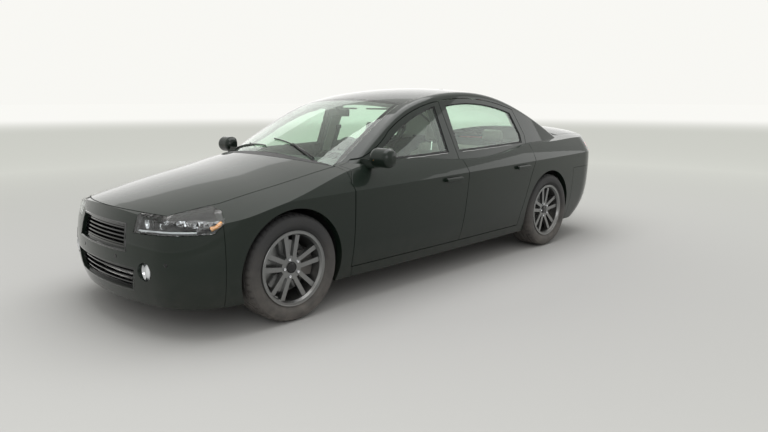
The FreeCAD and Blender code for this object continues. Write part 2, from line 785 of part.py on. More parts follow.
def turned_body(label, profile, centre):
    """A PartDesign body turned about its own Y axis from a sketch bound to the named sizes."""
    body = doc.addObject("PartDesign::Body", label)
    plane = [f for f in body.Origin.OriginFeatures if f.Role == "XY_Plane"][0]
    sketch = body.newObject("Sketcher::SketchObject", f"{label}_profile")
    sketch.AttachmentSupport = [(plane, "")]
    sketch.MapMode = "FlatFace"
    count = len(profile)
    spots = [Vector(numbers[1], numbers[0], 0) for across, radius, numbers in profile]
    for k in range(count):
        sketch.addGeometry(Part.LineSegment(spots[k], spots[(k + 1) % count]))
    for k in range(count):
        sketch.addConstraint(Sketcher.Constraint("Coincident", k, 2, (k + 1) % count, 1))
    for k, (across, radius, numbers) in enumerate(profile):
        for axis, text, number in (
            ("DistanceX", radius, numbers[1]),
            ("DistanceY", across, numbers[0]),
        ):
            index = sketch.addConstraint(Sketcher.Constraint(axis, -1, 1, k, 1, number))
            sketch.setExpression(f"Constraints[{index}]", text)
    turn = body.newObject("PartDesign::Revolution", f"{label}_turned")
    turn.Profile = sketch
    turn.ReferenceAxis = (sketch, ["V_Axis"])
    turn.Angle = 360
    for prop, text in zip(("Placement.Base.x", "Placement.Base.y", "Placement.Base.z"), centre):
        body.setExpression(prop, text)
    return body


WHEELS = [
    ("front_left", AXLE_F, "Sizes.wheel_track / 2", 1),
    ("front_right", AXLE_F, "-Sizes.wheel_track / 2", -1),
    ("rear_left", AXLE_R, "Sizes.wheel_track / 2", 1),
    ("rear_right", AXLE_R, "-Sizes.wheel_track / 2", -1),
]
parts = []
for label, x, y, side in WHEELS:
    parts.append(turned_body(f"tyre_{label}", tyre_profile(), (x, y, "Sizes.tyre_radius")))

# Rim: barrel, twin spokes and hub, then the brake disc as a second solid that turns with it
RIM_W = size("rim_width") / 2
RIM_R = size("rim_radius")
BARREL = size("barrel_radius")
HUB_R = size("hub_radius")
BARREL_PROFILE = [
    (-RIM_W, RIM_R),
    (-RIM_W, BARREL + 6),
    (-RIM_W + 12, BARREL),
    (RIM_W - 16, BARREL),
    (RIM_W, BARREL + 10),
    (RIM_W, RIM_R),
    (RIM_W - 8, RIM_R),
    (RIM_W - 12, RIM_R - 9),
    (RIM_W - 44, RIM_R - 10),
    (RIM_W - 60, BARREL + 9),
    (-RIM_W + 50, BARREL + 9),
    (-RIM_W + 40, RIM_R - 10),
    (-RIM_W + 12, RIM_R - 9),
    (-RIM_W + 8, RIM_R),
]
SPOKE_FACE = 88
SPOKE_BACK = 52
HUB_FACE = 74
HUB_BACK = 22
DISC_FACE = 18
DISC_THICK = 28


def turned(profile):
    """A ring about the Y axis through the origin from (y, radius) points."""
    wire = Part.makePolygon([Vector(r, y, 0) for y, r in profile + profile[:1]])
    return Part.Face(wire).revolve(Vector(0, 0, 0), Vector(0, 1, 0), 360)


def rim_shape():
    barrel = turned(BARREL_PROFILE)
    hub = Part.makeCylinder(HUB_R, HUB_FACE - HUB_BACK, Vector(0, HUB_BACK, 0), Vector(0, 1, 0))
    pieces = [hub]
    pair_step = 360 / int(size("spoke_pairs"))
    reach = BARREL + 5
    for k in range(int(size("spoke_pairs"))):
        for side in (1, -1):
            points = [
                (side * 6, HUB_R - 22),
                (side * 34, HUB_R - 22),
                (side * 62, reach),
                (side * 30, reach),
            ]
            outline = Part.makePolygon([Vector(a, SPOKE_BACK, b) for a, b in points + points[:1]])
            spoke = Part.Face(outline).extrude(Vector(0, SPOKE_FACE - SPOKE_BACK, 0))
            spoke.rotate(Vector(0, 0, 0), Vector(0, 1, 0), pair_step * k)
            pieces.append(spoke)
    dish = turned(
        [
            (HUB_FACE - 4, 0),
            (SPOKE_FACE - 2, BARREL),
            (SPOKE_FACE - 2, BARREL + 30),
            (SPOKE_BACK, BARREL + 30),
            (SPOKE_BACK - 30, HUB_R),
            (SPOKE_BACK - 30, 0),
        ]
    )
    centre = pieces[0].fuse(pieces[1:]).common(dish)
    keep = Part.makeCylinder(BARREL + 4, 400, Vector(0, -200, 0), Vector(0, 1, 0))
    return barrel.fuse(centre.common(keep)).removeSplitter()


def disc_shape():
    hat = Part.makeCylinder(HUB_R + 4, 50, Vector(0, HUB_BACK - CLEAR - 50, 0), Vector(0, 1, 0))
    bore = Part.makeCylinder(46, 60, Vector(0, HUB_BACK - CLEAR - 56, 0), Vector(0, 1, 0))
    ring = Part.makeCylinder(size("disc_radius"), DISC_THICK, Vector(0, -DISC_FACE, 0), Vector(0, 1, 0))
    return hat.fuse(ring).cut(bore)


left_wheel = Part.makeCompound([rim_shape(), disc_shape()])
for label, x, y, side in WHEELS:
    wheel = left_wheel if side > 0 else mirrored(left_wheel)
    axle_x = FRONT_AXLE_X if label.startswith("front") else REAR_AXLE_X
    parts.append(name_part(f"rim_{label}", wheel, Vector(axle_x, side * TYRE_Y, TYRE_R)))

# Knuckles turn about an upright axis; each carries the caliper, the hub and the damper's foot
PIN_Y = TYRE_Y - size("kingpin_inset")
DISC_Y = TYRE_Y - DISC_FACE


def caliper_shape(x, side_x):
    """A brake caliper astride the disc, on the side_x side of the axle."""
    ring = cylinder_y(x, TYRE_R, BARREL - 7, DISC_Y - 34, DISC_Y + DISC_THICK + 14)
    ring = ring.cut(cylinder_y(x, TYRE_R, 112, DISC_Y - 60, DISC_Y + DISC_THICK + 60))
    gap = cylinder_y(x, TYRE_R, size("disc_radius") + 6, DISC_Y - 6, DISC_Y + DISC_THICK + 6)
    zone_x = (x + 60, x + 260) if side_x > 0 else (x - 260, x - 60)
    return ring.cut(gap).common(block(*zone_x, 0, FAR, TYRE_R - 84, TYRE_R + 84))


def knuckle_shape(x):
    carrier = cylinder_y(x, TYRE_R, 40, PIN_Y - 50, TYRE_Y + HUB_BACK - CLEAR)
    plate = block(x - 46, x + 46, PIN_Y - 34, PIN_Y - 4, TYRE_R - 150, TYRE_R + 190)
    foot = Part.makeCylinder(24, 50, Vector(x, PIN_Y, TYRE_R - 152))
    foot = foot.fuse(block(x - 24, x + 24, PIN_Y - 34, PIN_Y, TYRE_R - 152, TYRE_R - 102))
    neck = block(x - 26, x + 26, PIN_Y - 106, PIN_Y - 70, TYRE_R + 120, TYRE_R + 350)
    bridge = block(x - 26, x + 26, PIN_Y - 106, PIN_Y - 4, TYRE_R + 130, TYRE_R + 190)
    lever = block(x - 150, x - 20, PIN_Y - 60, PIN_Y - 30, TYRE_R - 80, TYRE_R - 50)
    arm = block(x - 190, x - 30, PIN_Y - 34, PIN_Y - 4, TYRE_R - 40, TYRE_R + 40)
    base = carrier.fuse([plate, foot, neck, bridge, lever, arm])
    hold = block(x - 150, x - 118, PIN_Y - 34, DISC_Y - 20, TYRE_R - 60, TYRE_R + 60)
    return base.fuse([hold, caliper_shape(x, -1)])


front_knuckle = knuckle_shape(FRONT_AXLE_X).removeSplitter()
parts.append(name_part("knuckle_left", front_knuckle))
parts.append(name_part("knuckle_right", mirrored(front_knuckle)))

for label in panels:
    parts.append(name_part(label, panels[label]))

# Floor, firewall, bulkhead, boot floor and inner rails
tub_masks = body_sides(WALL + CLEAR).common(body_top(size("lid_thickness") + CLEAR))
tub_masks = tub_masks.fuse(cabin_shell(PILLAR + CLEAR))
FIREWALL_X = aft(452)
KICK_X = aft_rear(-330)
SHELF_X = aft_rear(-110)
BOOT_TOP = 560
TUNNEL = 120
boxes = [
    block(FIREWALL_X, KICK_X, -FAR, FAR, SILL + 2, FLOOR_TOP),
    block(FIREWALL_X, FIREWALL_X + 22, -FAR, FAR, SILL + 2, 880),
    block(KICK_X - 22, KICK_X, -FAR, FAR, SILL + 2, BOOT_TOP),
    block(aft_rear(1010), KICK_X, -FAR, FAR, BOOT_TOP - 22, BOOT_TOP),
    block(SHELF_X - 22, SHELF_X, -FAR, FAR, BOOT_TOP - 10, 985),
    block(FIREWALL_X, KICK_X, -TUNNEL, TUNNEL, SILL + 2, 420),
]
for side in (1, -1):
    rail = sorted((side * 440, side * 474))
    boxes += [
        block(FIREWALL_X, NOSE_X - 190, *rail, 420, 560),
        block(aft_rear(960), KICK_X, *rail, BOOT_TOP - 80, BOOT_TOP - 10),
    ]
boxes += [
    block(NOSE_X - 190, NOSE_X - 150, -560, 560, 420, 540),
    block(aft_rear(960) - 40, aft_rear(960), -600, 600, 400, BOOT_TOP - 10),
    block(NOSE_X - 262, NOSE_X - 222, -474, 474, 330, 620),
]
tub = boxes[0].fuse(boxes[1:])
tub = tub.cut(block(FIREWALL_X + 40, KICK_X + 1, -TUNNEL + 20, TUNNEL - 20, 0, 400))
RADIATOR_HALF = size("radiator_width") / 2
tub = tub.cut(block(NOSE_X - 270, NOSE_X - 214, -RADIATOR_HALF, RADIATOR_HALF, 370, 580))
WELL_R = ARCH + 12
for side in (1, -1):
    wells = sorted((side * 632, side * 1200))
    tub = tub.cut(cylinder_y(REAR_AXLE_X, TYRE_R, WELL_R, *wells))
    mouths = sorted((side * 478, side * 1200))
    tub = tub.cut(cylinder_y(FRONT_AXLE_X, TYRE_R, size("liner_radius") + 8, *mouths))
tub = tub.common(tub_masks)
cleared = body_sides(WALL + 14).fuse(cabin_shell(PILLAR + 14))
door_keepout = side_prism(FRONT_DOOR, 26).fuse(side_prism(REAR_DOOR, 26)).cut(cleared)
door_keepout = door_keepout.fuse(mirrored(door_keepout))
tub = tub.cut(door_keepout)
LID_EDGE = 715
latch = block(aft_rear(1000), aft_rear(960), -60, 60, BOOT_TOP - 20, LID_EDGE - CLEAR)
latch = latch.fuse(block(aft_rear(1060), aft_rear(960), -60, 60, BUMPER_TOP + CLEAR, LID_EDGE - CLEAR))
stops = [
    Part.makeCylinder(16, 400, Vector(NOSE_X - 242, side * 380, 600)).common(body_top(LID + CLEAR))
    for side in (1, -1)
]
tub = tub.fuse([latch] + stops)
parts.append(name_part("floor_pan", tub))

# Arch liners
liners = []
for x, radius, y_in, drop in (
    (FRONT_AXLE_X, size("liner_radius"), 482, 150),
    (REAR_AXLE_X, ARCH + 6, 640, 120),
):
    thick = size("liner_thickness")
    y_out = HALF_WIDTH - WALL - 40
    tube = cylinder_y(x, TYRE_R, radius + thick, y_in, y_out)
    hollow = cylinder_y(x, TYRE_R, radius, y_in + (thick if y_in > 500 else -1), y_out + 1)
    liner = tube.cut(hollow).cut(block(x - 500, x + 500, 0, FAR, 0, TYRE_R - drop))
    if y_in > 500:
        liner = liner.cut(cylinder_y(x, TYRE_R, 150, y_in - 1, y_in + 10))
        liner = liner.cut(block(x - 150, x + 150, y_in - 1, y_in + 10, 0, TYRE_R))
    liners.append(liner.common(tub_masks))
liners += [mirrored(liner) for liner in liners]
parts.append(name_part("wheel_liners", Part.makeCompound(liners)))


def rounded(shape, radius):
    """Rounds every edge of a plain block."""
    return shape.makeFillet(radius, shape.Edges)


def slanted_pad(x, y, z, depth, width, height, lean):
    """A rounded pad standing on its lower edge at x, y, z and leaning back by lean degrees."""
    pad = rounded(Part.makeBox(depth, width, height, Vector(-depth, -width / 2, 0)), min(depth, 60) * 0.42)
    pad.rotate(Vector(0, 0, 0), Vector(0, 1, 0), -lean)
    pad.translate(Vector(x, y, z))
    return pad


# Seats
SEAT_Y = 385
SEAT_W = 500
seats = []
for side in (1, -1):
    y = side * SEAT_Y
    cushion = slanted_pad(aft(1190), y, 330, 500, SEAT_W, 150, 4)
    back = slanted_pad(aft(1640), y, 400, 120, SEAT_W, 600, 22)
    head = slanted_pad(aft(1878), y, 1010, 90, 250, 165, 14)
    stalk = block(aft(1920), aft(1890), y - 60, y + 60, 930, 1050)
    plinth = block(aft(1640), aft(1260), y - 190, y + 190, FLOOR_TOP + CLEAR, 350)
    seats.append(cushion.fuse([back, head, stalk, plinth]))
front_seats = Part.makeCompound(seats)
parts.append(name_part("front_seats", front_seats))
bench = slanted_pad(aft_rear(-870), 0, 330, 480, 1180, 165, 5)
back = slanted_pad(aft_rear(-400), 0, 430, 130, 1180, 560, 24)
plinth = block(KICK_X + CLEAR, aft_rear(-800), -560, 560, FLOOR_TOP + CLEAR, 370)
heads = [slanted_pad(aft_rear(-178), side * 330, 960, 80, 230, 130, 10) for side in (1, -1)]
rear_seat = bench.fuse([back, plinth] + heads)
rear_seat = rear_seat.cut(block(SHELF_X - 300, SHELF_X + CLEAR, -FAR, FAR, 400, 985 + CLEAR))
rear_seat = rear_seat.cut(block(SHELF_X - 300, KICK_X + CLEAR, -FAR, FAR, 0, BOOT_TOP + CLEAR))
rear_seat = rear_seat.cut(block(FIREWALL_X, KICK_X - 30, -TUNNEL - CLEAR, TUNNEL + CLEAR, 0, 420 + CLEAR))
parts.append(name_part("rear_seat", rear_seat))

# Dashboard with console, and the steering wheel on its column
dash_outline = [
    (aft(430), 930),
    (aft(640), 950),
    (aft(860), 900),
    (aft(880), 800),
    (aft(760), 640),
    (aft(430), 640),
]
dashboard = side_prism(dash_outline, 0, 2 * OUTSIDE_Y).common(tub_masks).cut(door_keepout)
dashboard = dashboard.cut(block(FIREWALL_X - CLEAR, FAR, -FAR, FAR, 0, 2000))
dashboard = dashboard.common(cabin_shell(12).fuse(block(-FAR, FAR, -FAR, FAR, 0, 800)))
DASH_END = 704
dash_ends = [block(FIREWALL_X - 600, FIREWALL_X, side * DASH_END, side * FAR, 880, 1200) for side in (1, -1)]
dashboard = dashboard.cut(Part.makeCompound(dash_ends))
console = rounded(block(aft(1780), aft(770), -112, 112, 400, 655), 14)
console = console.cut(block(aft(1790), aft(700), -119, 119, 300, 420 + CLEAR))
dashboard = dashboard.fuse(console)
parts.append(name_part("dashboard", dashboard))

WHEEL_AT = Vector(aft(985), SEAT_Y, 905)
COLUMN_LEAN = 24
ring = Part.makeTorus(182, 15, Vector(0, 0, 0), Vector(1, 0, 0))
boss = Part.makeCylinder(62, 46, Vector(-8, 0, 0), Vector(1, 0, 0))
arms = block(-2, 22, -182, 182, -17, 17).fuse(block(-2, 22, -14, 14, -182, 0))
column = Part.makeCylinder(34, 165, Vector(30, 0, 0), Vector(1, 0, 0))
steering = ring.fuse([boss, arms, column])
steering.rotate(Vector(0, 0, 0), Vector(0, 1, 0), COLUMN_LEAN)
steering.translate(WHEEL_AT)
steering = steering.cut(side_prism(dash_outline, CLEAR, 2 * OUTSIDE_Y))
parts.append(name_part("steering_wheel", steering))

# Engine and gearbox as plain blocks, radiator pack in front
ENGINE_TOP = "(Sizes.shoulder_height - 15)"
engine_block = bound_box(
    "engine_block", f"{AXLE_F} - 410", "-Sizes.engine_width / 2", 330, 710, "Sizes.engine_width", f"{ENGINE_TOP} - 330"
)
gearbox = bound_box("gearbox", f"{AXLE_F} - 1250", -92, 240, 850, 184, 152)
parts.append(fused("engine", [engine_block, gearbox]))
parts.append(
    bound_box(
        "radiator",
        "Sizes.body_length / 2 - 260",
        "-Sizes.radiator_width / 2 + Sizes.seat_clearance",
        "370 + Sizes.seat_clearance",
        34,
        "Sizes.radiator_width - 2 * Sizes.seat_clearance",
        "210 - 2 * Sizes.seat_clearance",
    )
)

# Front subframe with lower and upper arms, steering rack
ARM_Z = TYRE_R - 152 - CLEAR - 28
arms = []
for side in (1, -1):
    pin = Vector(FRONT_AXLE_X, side * PIN_Y, 0)
    outline = [
        (FRONT_AXLE_X + 34, side * (PIN_Y + 22)),
        (FRONT_AXLE_X - 34, side * (PIN_Y + 22)),
        (FRONT_AXLE_X - 44, side * 575),
        (FRONT_AXLE_X - 250, side * 330),
        (FRONT_AXLE_X - 170, side * 330),
        (FRONT_AXLE_X - 6, side * 530),
        (FRONT_AXLE_X + 80, side * 330),
        (FRONT_AXLE_X + 160, side * 330),
    ]
    wire = Part.makePolygon([Vector(a, b, ARM_Z) for a, b in outline + outline[:1]])
    arms.append(Part.Face(wire).extrude(Vector(0, 0, 28)))
    arms.append(block(FRONT_AXLE_X - 120, FRONT_AXLE_X + 60, *sorted((side * 440, side * 475)), 560, 760))
    arms.append(block(FRONT_AXLE_X - 24, FRONT_AXLE_X + 24, *sorted((side * 474, side * (PIN_Y - 60))), TYRE_R + 356, TYRE_R + 382))
cradle = [
    block(FRONT_AXLE_X - 280, FRONT_AXLE_X - 190, -350, 350, 150, 250),
    block(FRONT_AXLE_X + 90, FRONT_AXLE_X + 170, -350, 350, 150, 250),
    block(FRONT_AXLE_X - 280, FRONT_AXLE_X + 170, 290, 350, 150, 250),
    block(FRONT_AXLE_X - 280, FRONT_AXLE_X + 170, -350, -290, 150, 250),
]
rack = cylinder_y(FRONT_AXLE_X - 150, TYRE_R - 65, 22, -420, 420)
links = [block(FRONT_AXLE_X - 175, FRONT_AXLE_X - 125, -350, 350, 240, 330 - CLEAR)]
frame = cradle[0].fuse(cradle[1:] + arms + [rack] + links)
towers = []
for side in (1, -1):
    towers.append(block(FRONT_AXLE_X - 280, FRONT_AXLE_X - 200, *sorted((side * 350, side * 473)), 150, 250))
    towers.append(block(FRONT_AXLE_X - 260, FRONT_AXLE_X - 210, *sorted((side * 440, side * 473)), 240, 420 - CLEAR))
frame = frame.fuse(towers)
parts.append(name_part("front_subframe", frame))

# Rear axle: cradle, arms, carriers, calipers, springs
rear = []
for side in (1, -1):
    carrier = cylinder_y(REAR_AXLE_X, TYRE_R, 40, PIN_Y - 60, TYRE_Y + HUB_BACK - CLEAR)
    upright = block(REAR_AXLE_X - 50, REAR_AXLE_X + 50, PIN_Y - 60, PIN_Y - 30, TYRE_R - 130, TYRE_R + 130)
    lower = block(REAR_AXLE_X - 60, REAR_AXLE_X + 30, 300, PIN_Y - 30, TYRE_R - 130, TYRE_R - 100)
    upper = block(REAR_AXLE_X - 30, REAR_AXLE_X + 30, 300, PIN_Y - 30, TYRE_R + 100, TYRE_R + 126)
    half_shaft = cylinder_y(REAR_AXLE_X, TYRE_R, 20, 0, PIN_Y - 50)
    hold = block(REAR_AXLE_X - 150, REAR_AXLE_X - 40, PIN_Y - 60, PIN_Y - 30, TYRE_R - 50, TYRE_R + 50)
    bridge = block(REAR_AXLE_X - 150, REAR_AXLE_X - 118, PIN_Y - 60, DISC_Y - 20, TYRE_R - 50, TYRE_R + 50)
    group = carrier.fuse([upright, lower, upper, half_shaft, hold, bridge, caliper_shape(REAR_AXLE_X, -1)])
    rear.append(group if side > 0 else mirrored(group))
rear += [
    block(REAR_AXLE_X - 200, REAR_AXLE_X - 120, -474, 474, 230, 330),
    block(REAR_AXLE_X + 120, REAR_AXLE_X + 200, -474, 474, 230, 330),
    block(REAR_AXLE_X - 200, REAR_AXLE_X + 200, 280, 350, 230, 330),
    block(REAR_AXLE_X - 200, REAR_AXLE_X + 200, -350, -280, 230, 330),
    block(REAR_AXLE_X - 60, REAR_AXLE_X + 60, 280, 350, 230, TYRE_R + 126),
    block(REAR_AXLE_X - 60, REAR_AXLE_X + 60, -350, -280, 230, TYRE_R + 126),
    block(REAR_AXLE_X - 110, REAR_AXLE_X + 110, -130, 130, 250, 430),
]
for side in (1, -1):
    for x in (REAR_AXLE_X - 190, REAR_AXLE_X + 130):
        rear.append(block(x, x + 60, *sorted((side * 440, side * 474)), 230, BOOT_TOP - 80 - CLEAR))
rear = rear[0].fuse(rear[1:])
parts.append(name_part("rear_axle", rear))

# Exhaust along the tunnel to two silencers and tailpipes
pipe = Part.makeCylinder(32, aft(1300) - aft_rear(-560), Vector(aft_rear(-560), 0, 300), Vector(1, 0, 0))
exhaust_solids = [pipe]
exhaust_solids.append(rounded(block(aft_rear(-620), aft_rear(-1100), -100, 100, 236, 366), 30))
for side in (1, -1):
    silencer = rounded(block(aft_rear(470), aft_rear(740), side * 430 - 130, side * 430 + 130, 250, 390), 30)
    tip = Part.makeCylinder(34, 290, Vector(aft_rear(1010), side * 480, 290), Vector(1, 0, 0))
    exhaust_solids += [silencer, tip]
cross = block(aft_rear(640), aft_rear(580), -430, 430, 290, 340)
link = block(aft_rear(630), aft_rear(-560), -22, 22, 138, 180)
drop_front = block(aft_rear(-520), aft_rear(-580), -22, 22, 138, 300)
drop_rear = block(aft_rear(630), aft_rear(590), -22, 22, 138, 320)
exhaust_solids += [cross, link, drop_front, drop_rear]
exhaust = exhaust_solids[0].fuse(exhaust_solids[1:])
parts.append(name_part("exhaust", exhaust))
pipes_cut = Part.makeCompound(
    [Part.makeCylinder(44, 400, Vector(aft_rear(1180), side * 480, 290), Vector(1, 0, 0)) for side in (1, -1)]
)
bumper_piece = doc.getObject("rear_bumper")
bumper_piece.Shape = panels["rear_bumper"].cut(pipes_cut)

# Grilles: slats inside the openings, on the line of the nose
grille_layer = body_sides(22).cut(body_sides(52))
grille_solids = []
for outline, slats, low, high in ((upper_grille, 6, 500, 640), (lower_grille, 4, 270, 400)):
    face = front_prism(outline, *nose_reach, -CLEAR)
    hole = front_prism(outline, nose_reach[0] - 1, nose_reach[1] + 1, -16)
    bars = face.cut(hole)
    pitch = (high - low) / slats
    rows = [
        block(nose_reach[0], nose_reach[1], -FAR, FAR, low + pitch * k - 4, low + pitch * k + 4)
        for k in range(1, slats)
    ]
    bars = bars.fuse(face.common(Part.makeCompound(rows)))
    grille_solids.append(bars.common(grille_layer))
parts.append(name_part("grilles", Part.makeCompound(grille_solids)))

# Mirrors on the front doors: a rounded cap, flat behind with a recess for the glass
MIRROR_X = aft(700)
MIRROR_Z = BELT + 22
MIRROR_BACK = MIRROR_X - 28
MIRROR_REACH = (HALF_WIDTH - 62, HALF_WIDTH + 130)


def pill(radius, inset, rounding):
    """A short drum across the car with rounded ends."""
    drum = cylinder_y(MIRROR_X, MIRROR_Z, radius, MIRROR_REACH[0] + inset, MIRROR_REACH[1] - inset)
    rims = [edge for edge in drum.Edges if isinstance(edge.Curve, Part.Circle)]
    return drum.makeFillet(rounding, rims)


cap = pill(66, 0, 50).cut(block(-FAR, MIRROR_BACK, -FAR, FAR, 0, 2000))
recess = pill(58, 9, 42).common(block(MIRROR_BACK, MIRROR_BACK + 7, -FAR, FAR, 0, 2000))
stem = block(MIRROR_X - 12, MIRROR_X + 40, HALF_WIDTH - 150, HALF_WIDTH - 16, BELT - 50, BELT + 6)
mirror = cap.cut(recess).fuse(stem).cut(panels["door_front_left"]).cut(inner).cut(outer)
mirror = largest(mirror.cut(panels["door_glass_front_left"]))
parts.append(name_part("mirror_left", mirror))
parts.append(name_part("mirror_right", mirrored(mirror)))

# Every object is checked, then each node is written to a file of its own
doc.recompute()
for item in doc.Objects:
    if "Invalid" in item.State or "Error" in item.State:
        raise RuntimeError(f"{item.Label} is {item.State}")
os.makedirs("parts", exist_ok=True)
for piece in parts:
    shape = piece.Shape
    if shape.isNull() or not shape.isValid() or not shape.Solids:
        raise RuntimeError(f"{piece.Label} has no valid shape")
    shape.exportStep(f"parts/{piece.Label}.step")
    print(piece.Label, len(shape.Solids), round(shape.Volume / 1e6, 2), "litres")
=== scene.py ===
# %% [markdown]
# # A four-door sedan in a white studio
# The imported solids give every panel, wheel and seat its true place. This notebook gives them paint,
# glass, rubber and cloth, and adds what is too fine for the solids: tread, seals, lamp insides,
# handles, wipers and stitched seats. Everything is in metres: +X forwards, +Y to the car's left.

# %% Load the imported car
import math

import bmesh
import bpy
from mathutils import Matrix, Vector
from mathutils.bvhtree import BVHTree


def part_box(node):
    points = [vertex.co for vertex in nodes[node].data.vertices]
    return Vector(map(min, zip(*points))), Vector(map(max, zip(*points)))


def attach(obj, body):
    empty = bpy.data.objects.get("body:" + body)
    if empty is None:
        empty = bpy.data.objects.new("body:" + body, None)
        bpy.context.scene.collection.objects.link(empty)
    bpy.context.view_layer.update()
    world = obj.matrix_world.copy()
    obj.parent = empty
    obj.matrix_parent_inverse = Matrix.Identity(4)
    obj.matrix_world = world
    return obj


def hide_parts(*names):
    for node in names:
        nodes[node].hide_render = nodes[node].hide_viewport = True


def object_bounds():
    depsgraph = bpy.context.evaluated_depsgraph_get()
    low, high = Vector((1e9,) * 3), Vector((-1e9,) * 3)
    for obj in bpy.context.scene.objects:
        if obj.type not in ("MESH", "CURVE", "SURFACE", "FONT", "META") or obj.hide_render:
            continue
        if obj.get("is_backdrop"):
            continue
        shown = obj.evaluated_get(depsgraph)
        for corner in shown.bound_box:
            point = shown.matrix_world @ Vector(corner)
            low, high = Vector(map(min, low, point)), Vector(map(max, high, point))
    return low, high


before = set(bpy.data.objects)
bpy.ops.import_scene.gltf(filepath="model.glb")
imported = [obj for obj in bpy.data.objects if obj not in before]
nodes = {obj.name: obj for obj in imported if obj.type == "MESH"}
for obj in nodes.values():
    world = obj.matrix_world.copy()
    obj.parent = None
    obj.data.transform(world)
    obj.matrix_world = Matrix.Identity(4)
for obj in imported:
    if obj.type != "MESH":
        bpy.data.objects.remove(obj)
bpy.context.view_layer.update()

X, Y, Z = (1, 0, 0), (0, 1, 0), (0, 0, 1)
UP, DOWN = Z, (0, 0, -1)
SIDES = (("left", 1), ("right", -1))

# %% [markdown]
# ## Camera
# The picture was taken from the front left, a little above the door handles. Fitting the wheels,
# roof and nose to the picture gave the camera's place, its turn and its lens. A camera made from
# given numbers is used because it has to stay the same while the car is dressed.

# %% Make the camera
CAMERA_AT = Vector((3.865, 3.916, 1.361))
YAW, PITCH = math.radians(-135.09), math.radians(-10.51)
look = Vector((math.cos(PITCH) * math.cos(YAW), math.cos(PITCH) * math.sin(YAW), math.sin(PITCH)))
bpy.ops.object.camera_add(location=CAMERA_AT)
camera = bpy.context.object
camera.rotation_euler = look.to_track_quat("-Z", "Y").to_euler()
camera.data.sensor_width = 36
camera.data.lens = 29.34
camera.data.clip_end = 400
bpy.context.scene.camera = camera
bpy.context.scene.view_settings.view_transform = "Standard"
print("camera looks along", [round(v, 2) for v in look])

# %% [markdown]
# ## Helpers for modelling by hand
# Each helper is a short run of the same operators that a person would click: add a primitive, go
# into edit mode, select some faces by where they are, shape them, and come out again. Their places
# are applied, so every finished mesh sits at the origin as the solids do.


# %% Selecting and editing
def only(*objs):
    bpy.ops.object.select_all(action="DESELECT")
    for o in objs:
        o.select_set(True)
    bpy.context.view_layer.objects.active = objs[0]


def edit(obj):
    only(obj)
    bpy.ops.object.mode_set(mode="EDIT")
    bpy.ops.mesh.select_mode(type="VERT")
    bpy.ops.mesh.select_all(action="SELECT")


def leave():
    bpy.ops.object.mode_set(mode="OBJECT")


def choose(obj, test, kind="FACE"):
    """Selects the faces, edges or points whose middle and direction pass the test."""
    bpy.ops.mesh.select_all(action="DESELECT")
    bpy.ops.mesh.select_mode(type=kind)
    shape = bmesh.from_edit_mesh(obj.data)
    shape.normal_update()
    if kind == "FACE":
        parts = [(f, f.calc_center_median(), f.normal) for f in shape.faces]
    elif kind == "EDGE":
        ends = [(e, e.verts[0].co, e.verts[1].co) for e in shape.edges]
        parts = [(e, (a + b) / 2, (b - a).normalized()) for e, a, b in ends]
    else:
        parts = [(v, v.co, v.normal) for v in shape.verts]
    picked = [part for part, middle, direction in parts if test(middle, direction)]
    for part in picked:
        part.select_set(True)
    bmesh.update_edit_mesh(obj.data)
    return len(picked)


def tidy(obj):
    """Merges doubles and turns every face outwards."""
    edit(obj)
    bpy.ops.mesh.remove_doubles(threshold=0.00002)
    bpy.ops.mesh.normals_make_consistent(inside=False)
    leave()


def settle(obj, name):
    """Applies place, turn and scale, so that the mesh itself is where the piece is."""
    obj.name = obj.data.name = name
    only(obj)
    bpy.ops.object.transform_apply(location=True, rotation=True, scale=True)
    return obj


def apply_all(obj):
    only(obj)
    for m in list(obj.modifiers):
        bpy.ops.object.modifier_apply(modifier=m.name)


def modify(obj, kind, **settings):
    """Adds one modifier and applies it."""
    m = obj.modifiers.new(kind.title(), kind)
    for key, value in settings.items():
        setattr(m, key, value)
    apply_all(obj)
    return obj


def thicken(obj, thickness, offset):
    return modify(obj, "SOLIDIFY", thickness=thickness, offset=offset)


# %% Rounding and stepping
def extrude(step):
    bpy.ops.mesh.extrude_region_move(TRANSFORM_OT_translate={"value": step})


def rounded(obj, width, steps=3, angle=30):
    """Bevels every edge that is sharper than the angle."""
    limit = math.radians(angle)
    return modify(obj, "BEVEL", width=width, segments=steps, limit_method="ANGLE", angle_limit=limit)


def round_edges(obj, axis, offset, segments, where=lambda c: True):
    """Bevels the edges that run along one axis: 0 is X, 1 is Y and 2 is Z."""
    edit(obj)
    choose(obj, lambda c, d: abs(d[axis]) > 0.9 and where(c), "EDGE")
    bpy.ops.mesh.bevel(offset=offset, segments=segments)
    leave()
    return obj


def stepped(obj, axis, sign, *steps):
    """Insets the faces that look along one axis, once for each (thickness, depth)."""
    edit(obj)
    choose(obj, lambda c, n: n[axis] * sign > 0.9)
    for thickness, depth in steps:
        bpy.ops.mesh.inset(thickness=thickness, depth=depth)
    leave()
    return obj


def raised(obj, axis, sign, thickness, step):
    """Insets the faces that look along one axis and extrudes them by a step."""
    edit(obj)
    choose(obj, lambda c, n: n[axis] * sign > 0.9)
    bpy.ops.mesh.inset(thickness=thickness, depth=0.0)
    extrude(step)
    leave()
    return obj


# %% Starting shapes
def block(name, xs, ys, zs):
    """A cuboid between two values on each axis, in any order, ready to be shaped."""
    bpy.ops.object.select_all(action="DESELECT")
    middle = [(a + b) / 2 for a, b in (xs, ys, zs)]
    bpy.ops.mesh.primitive_cube_add(size=1, location=middle)
    obj = bpy.context.object
    obj.scale = [abs(b - a) for a, b in (xs, ys, zs)]
    return settle(obj, name)


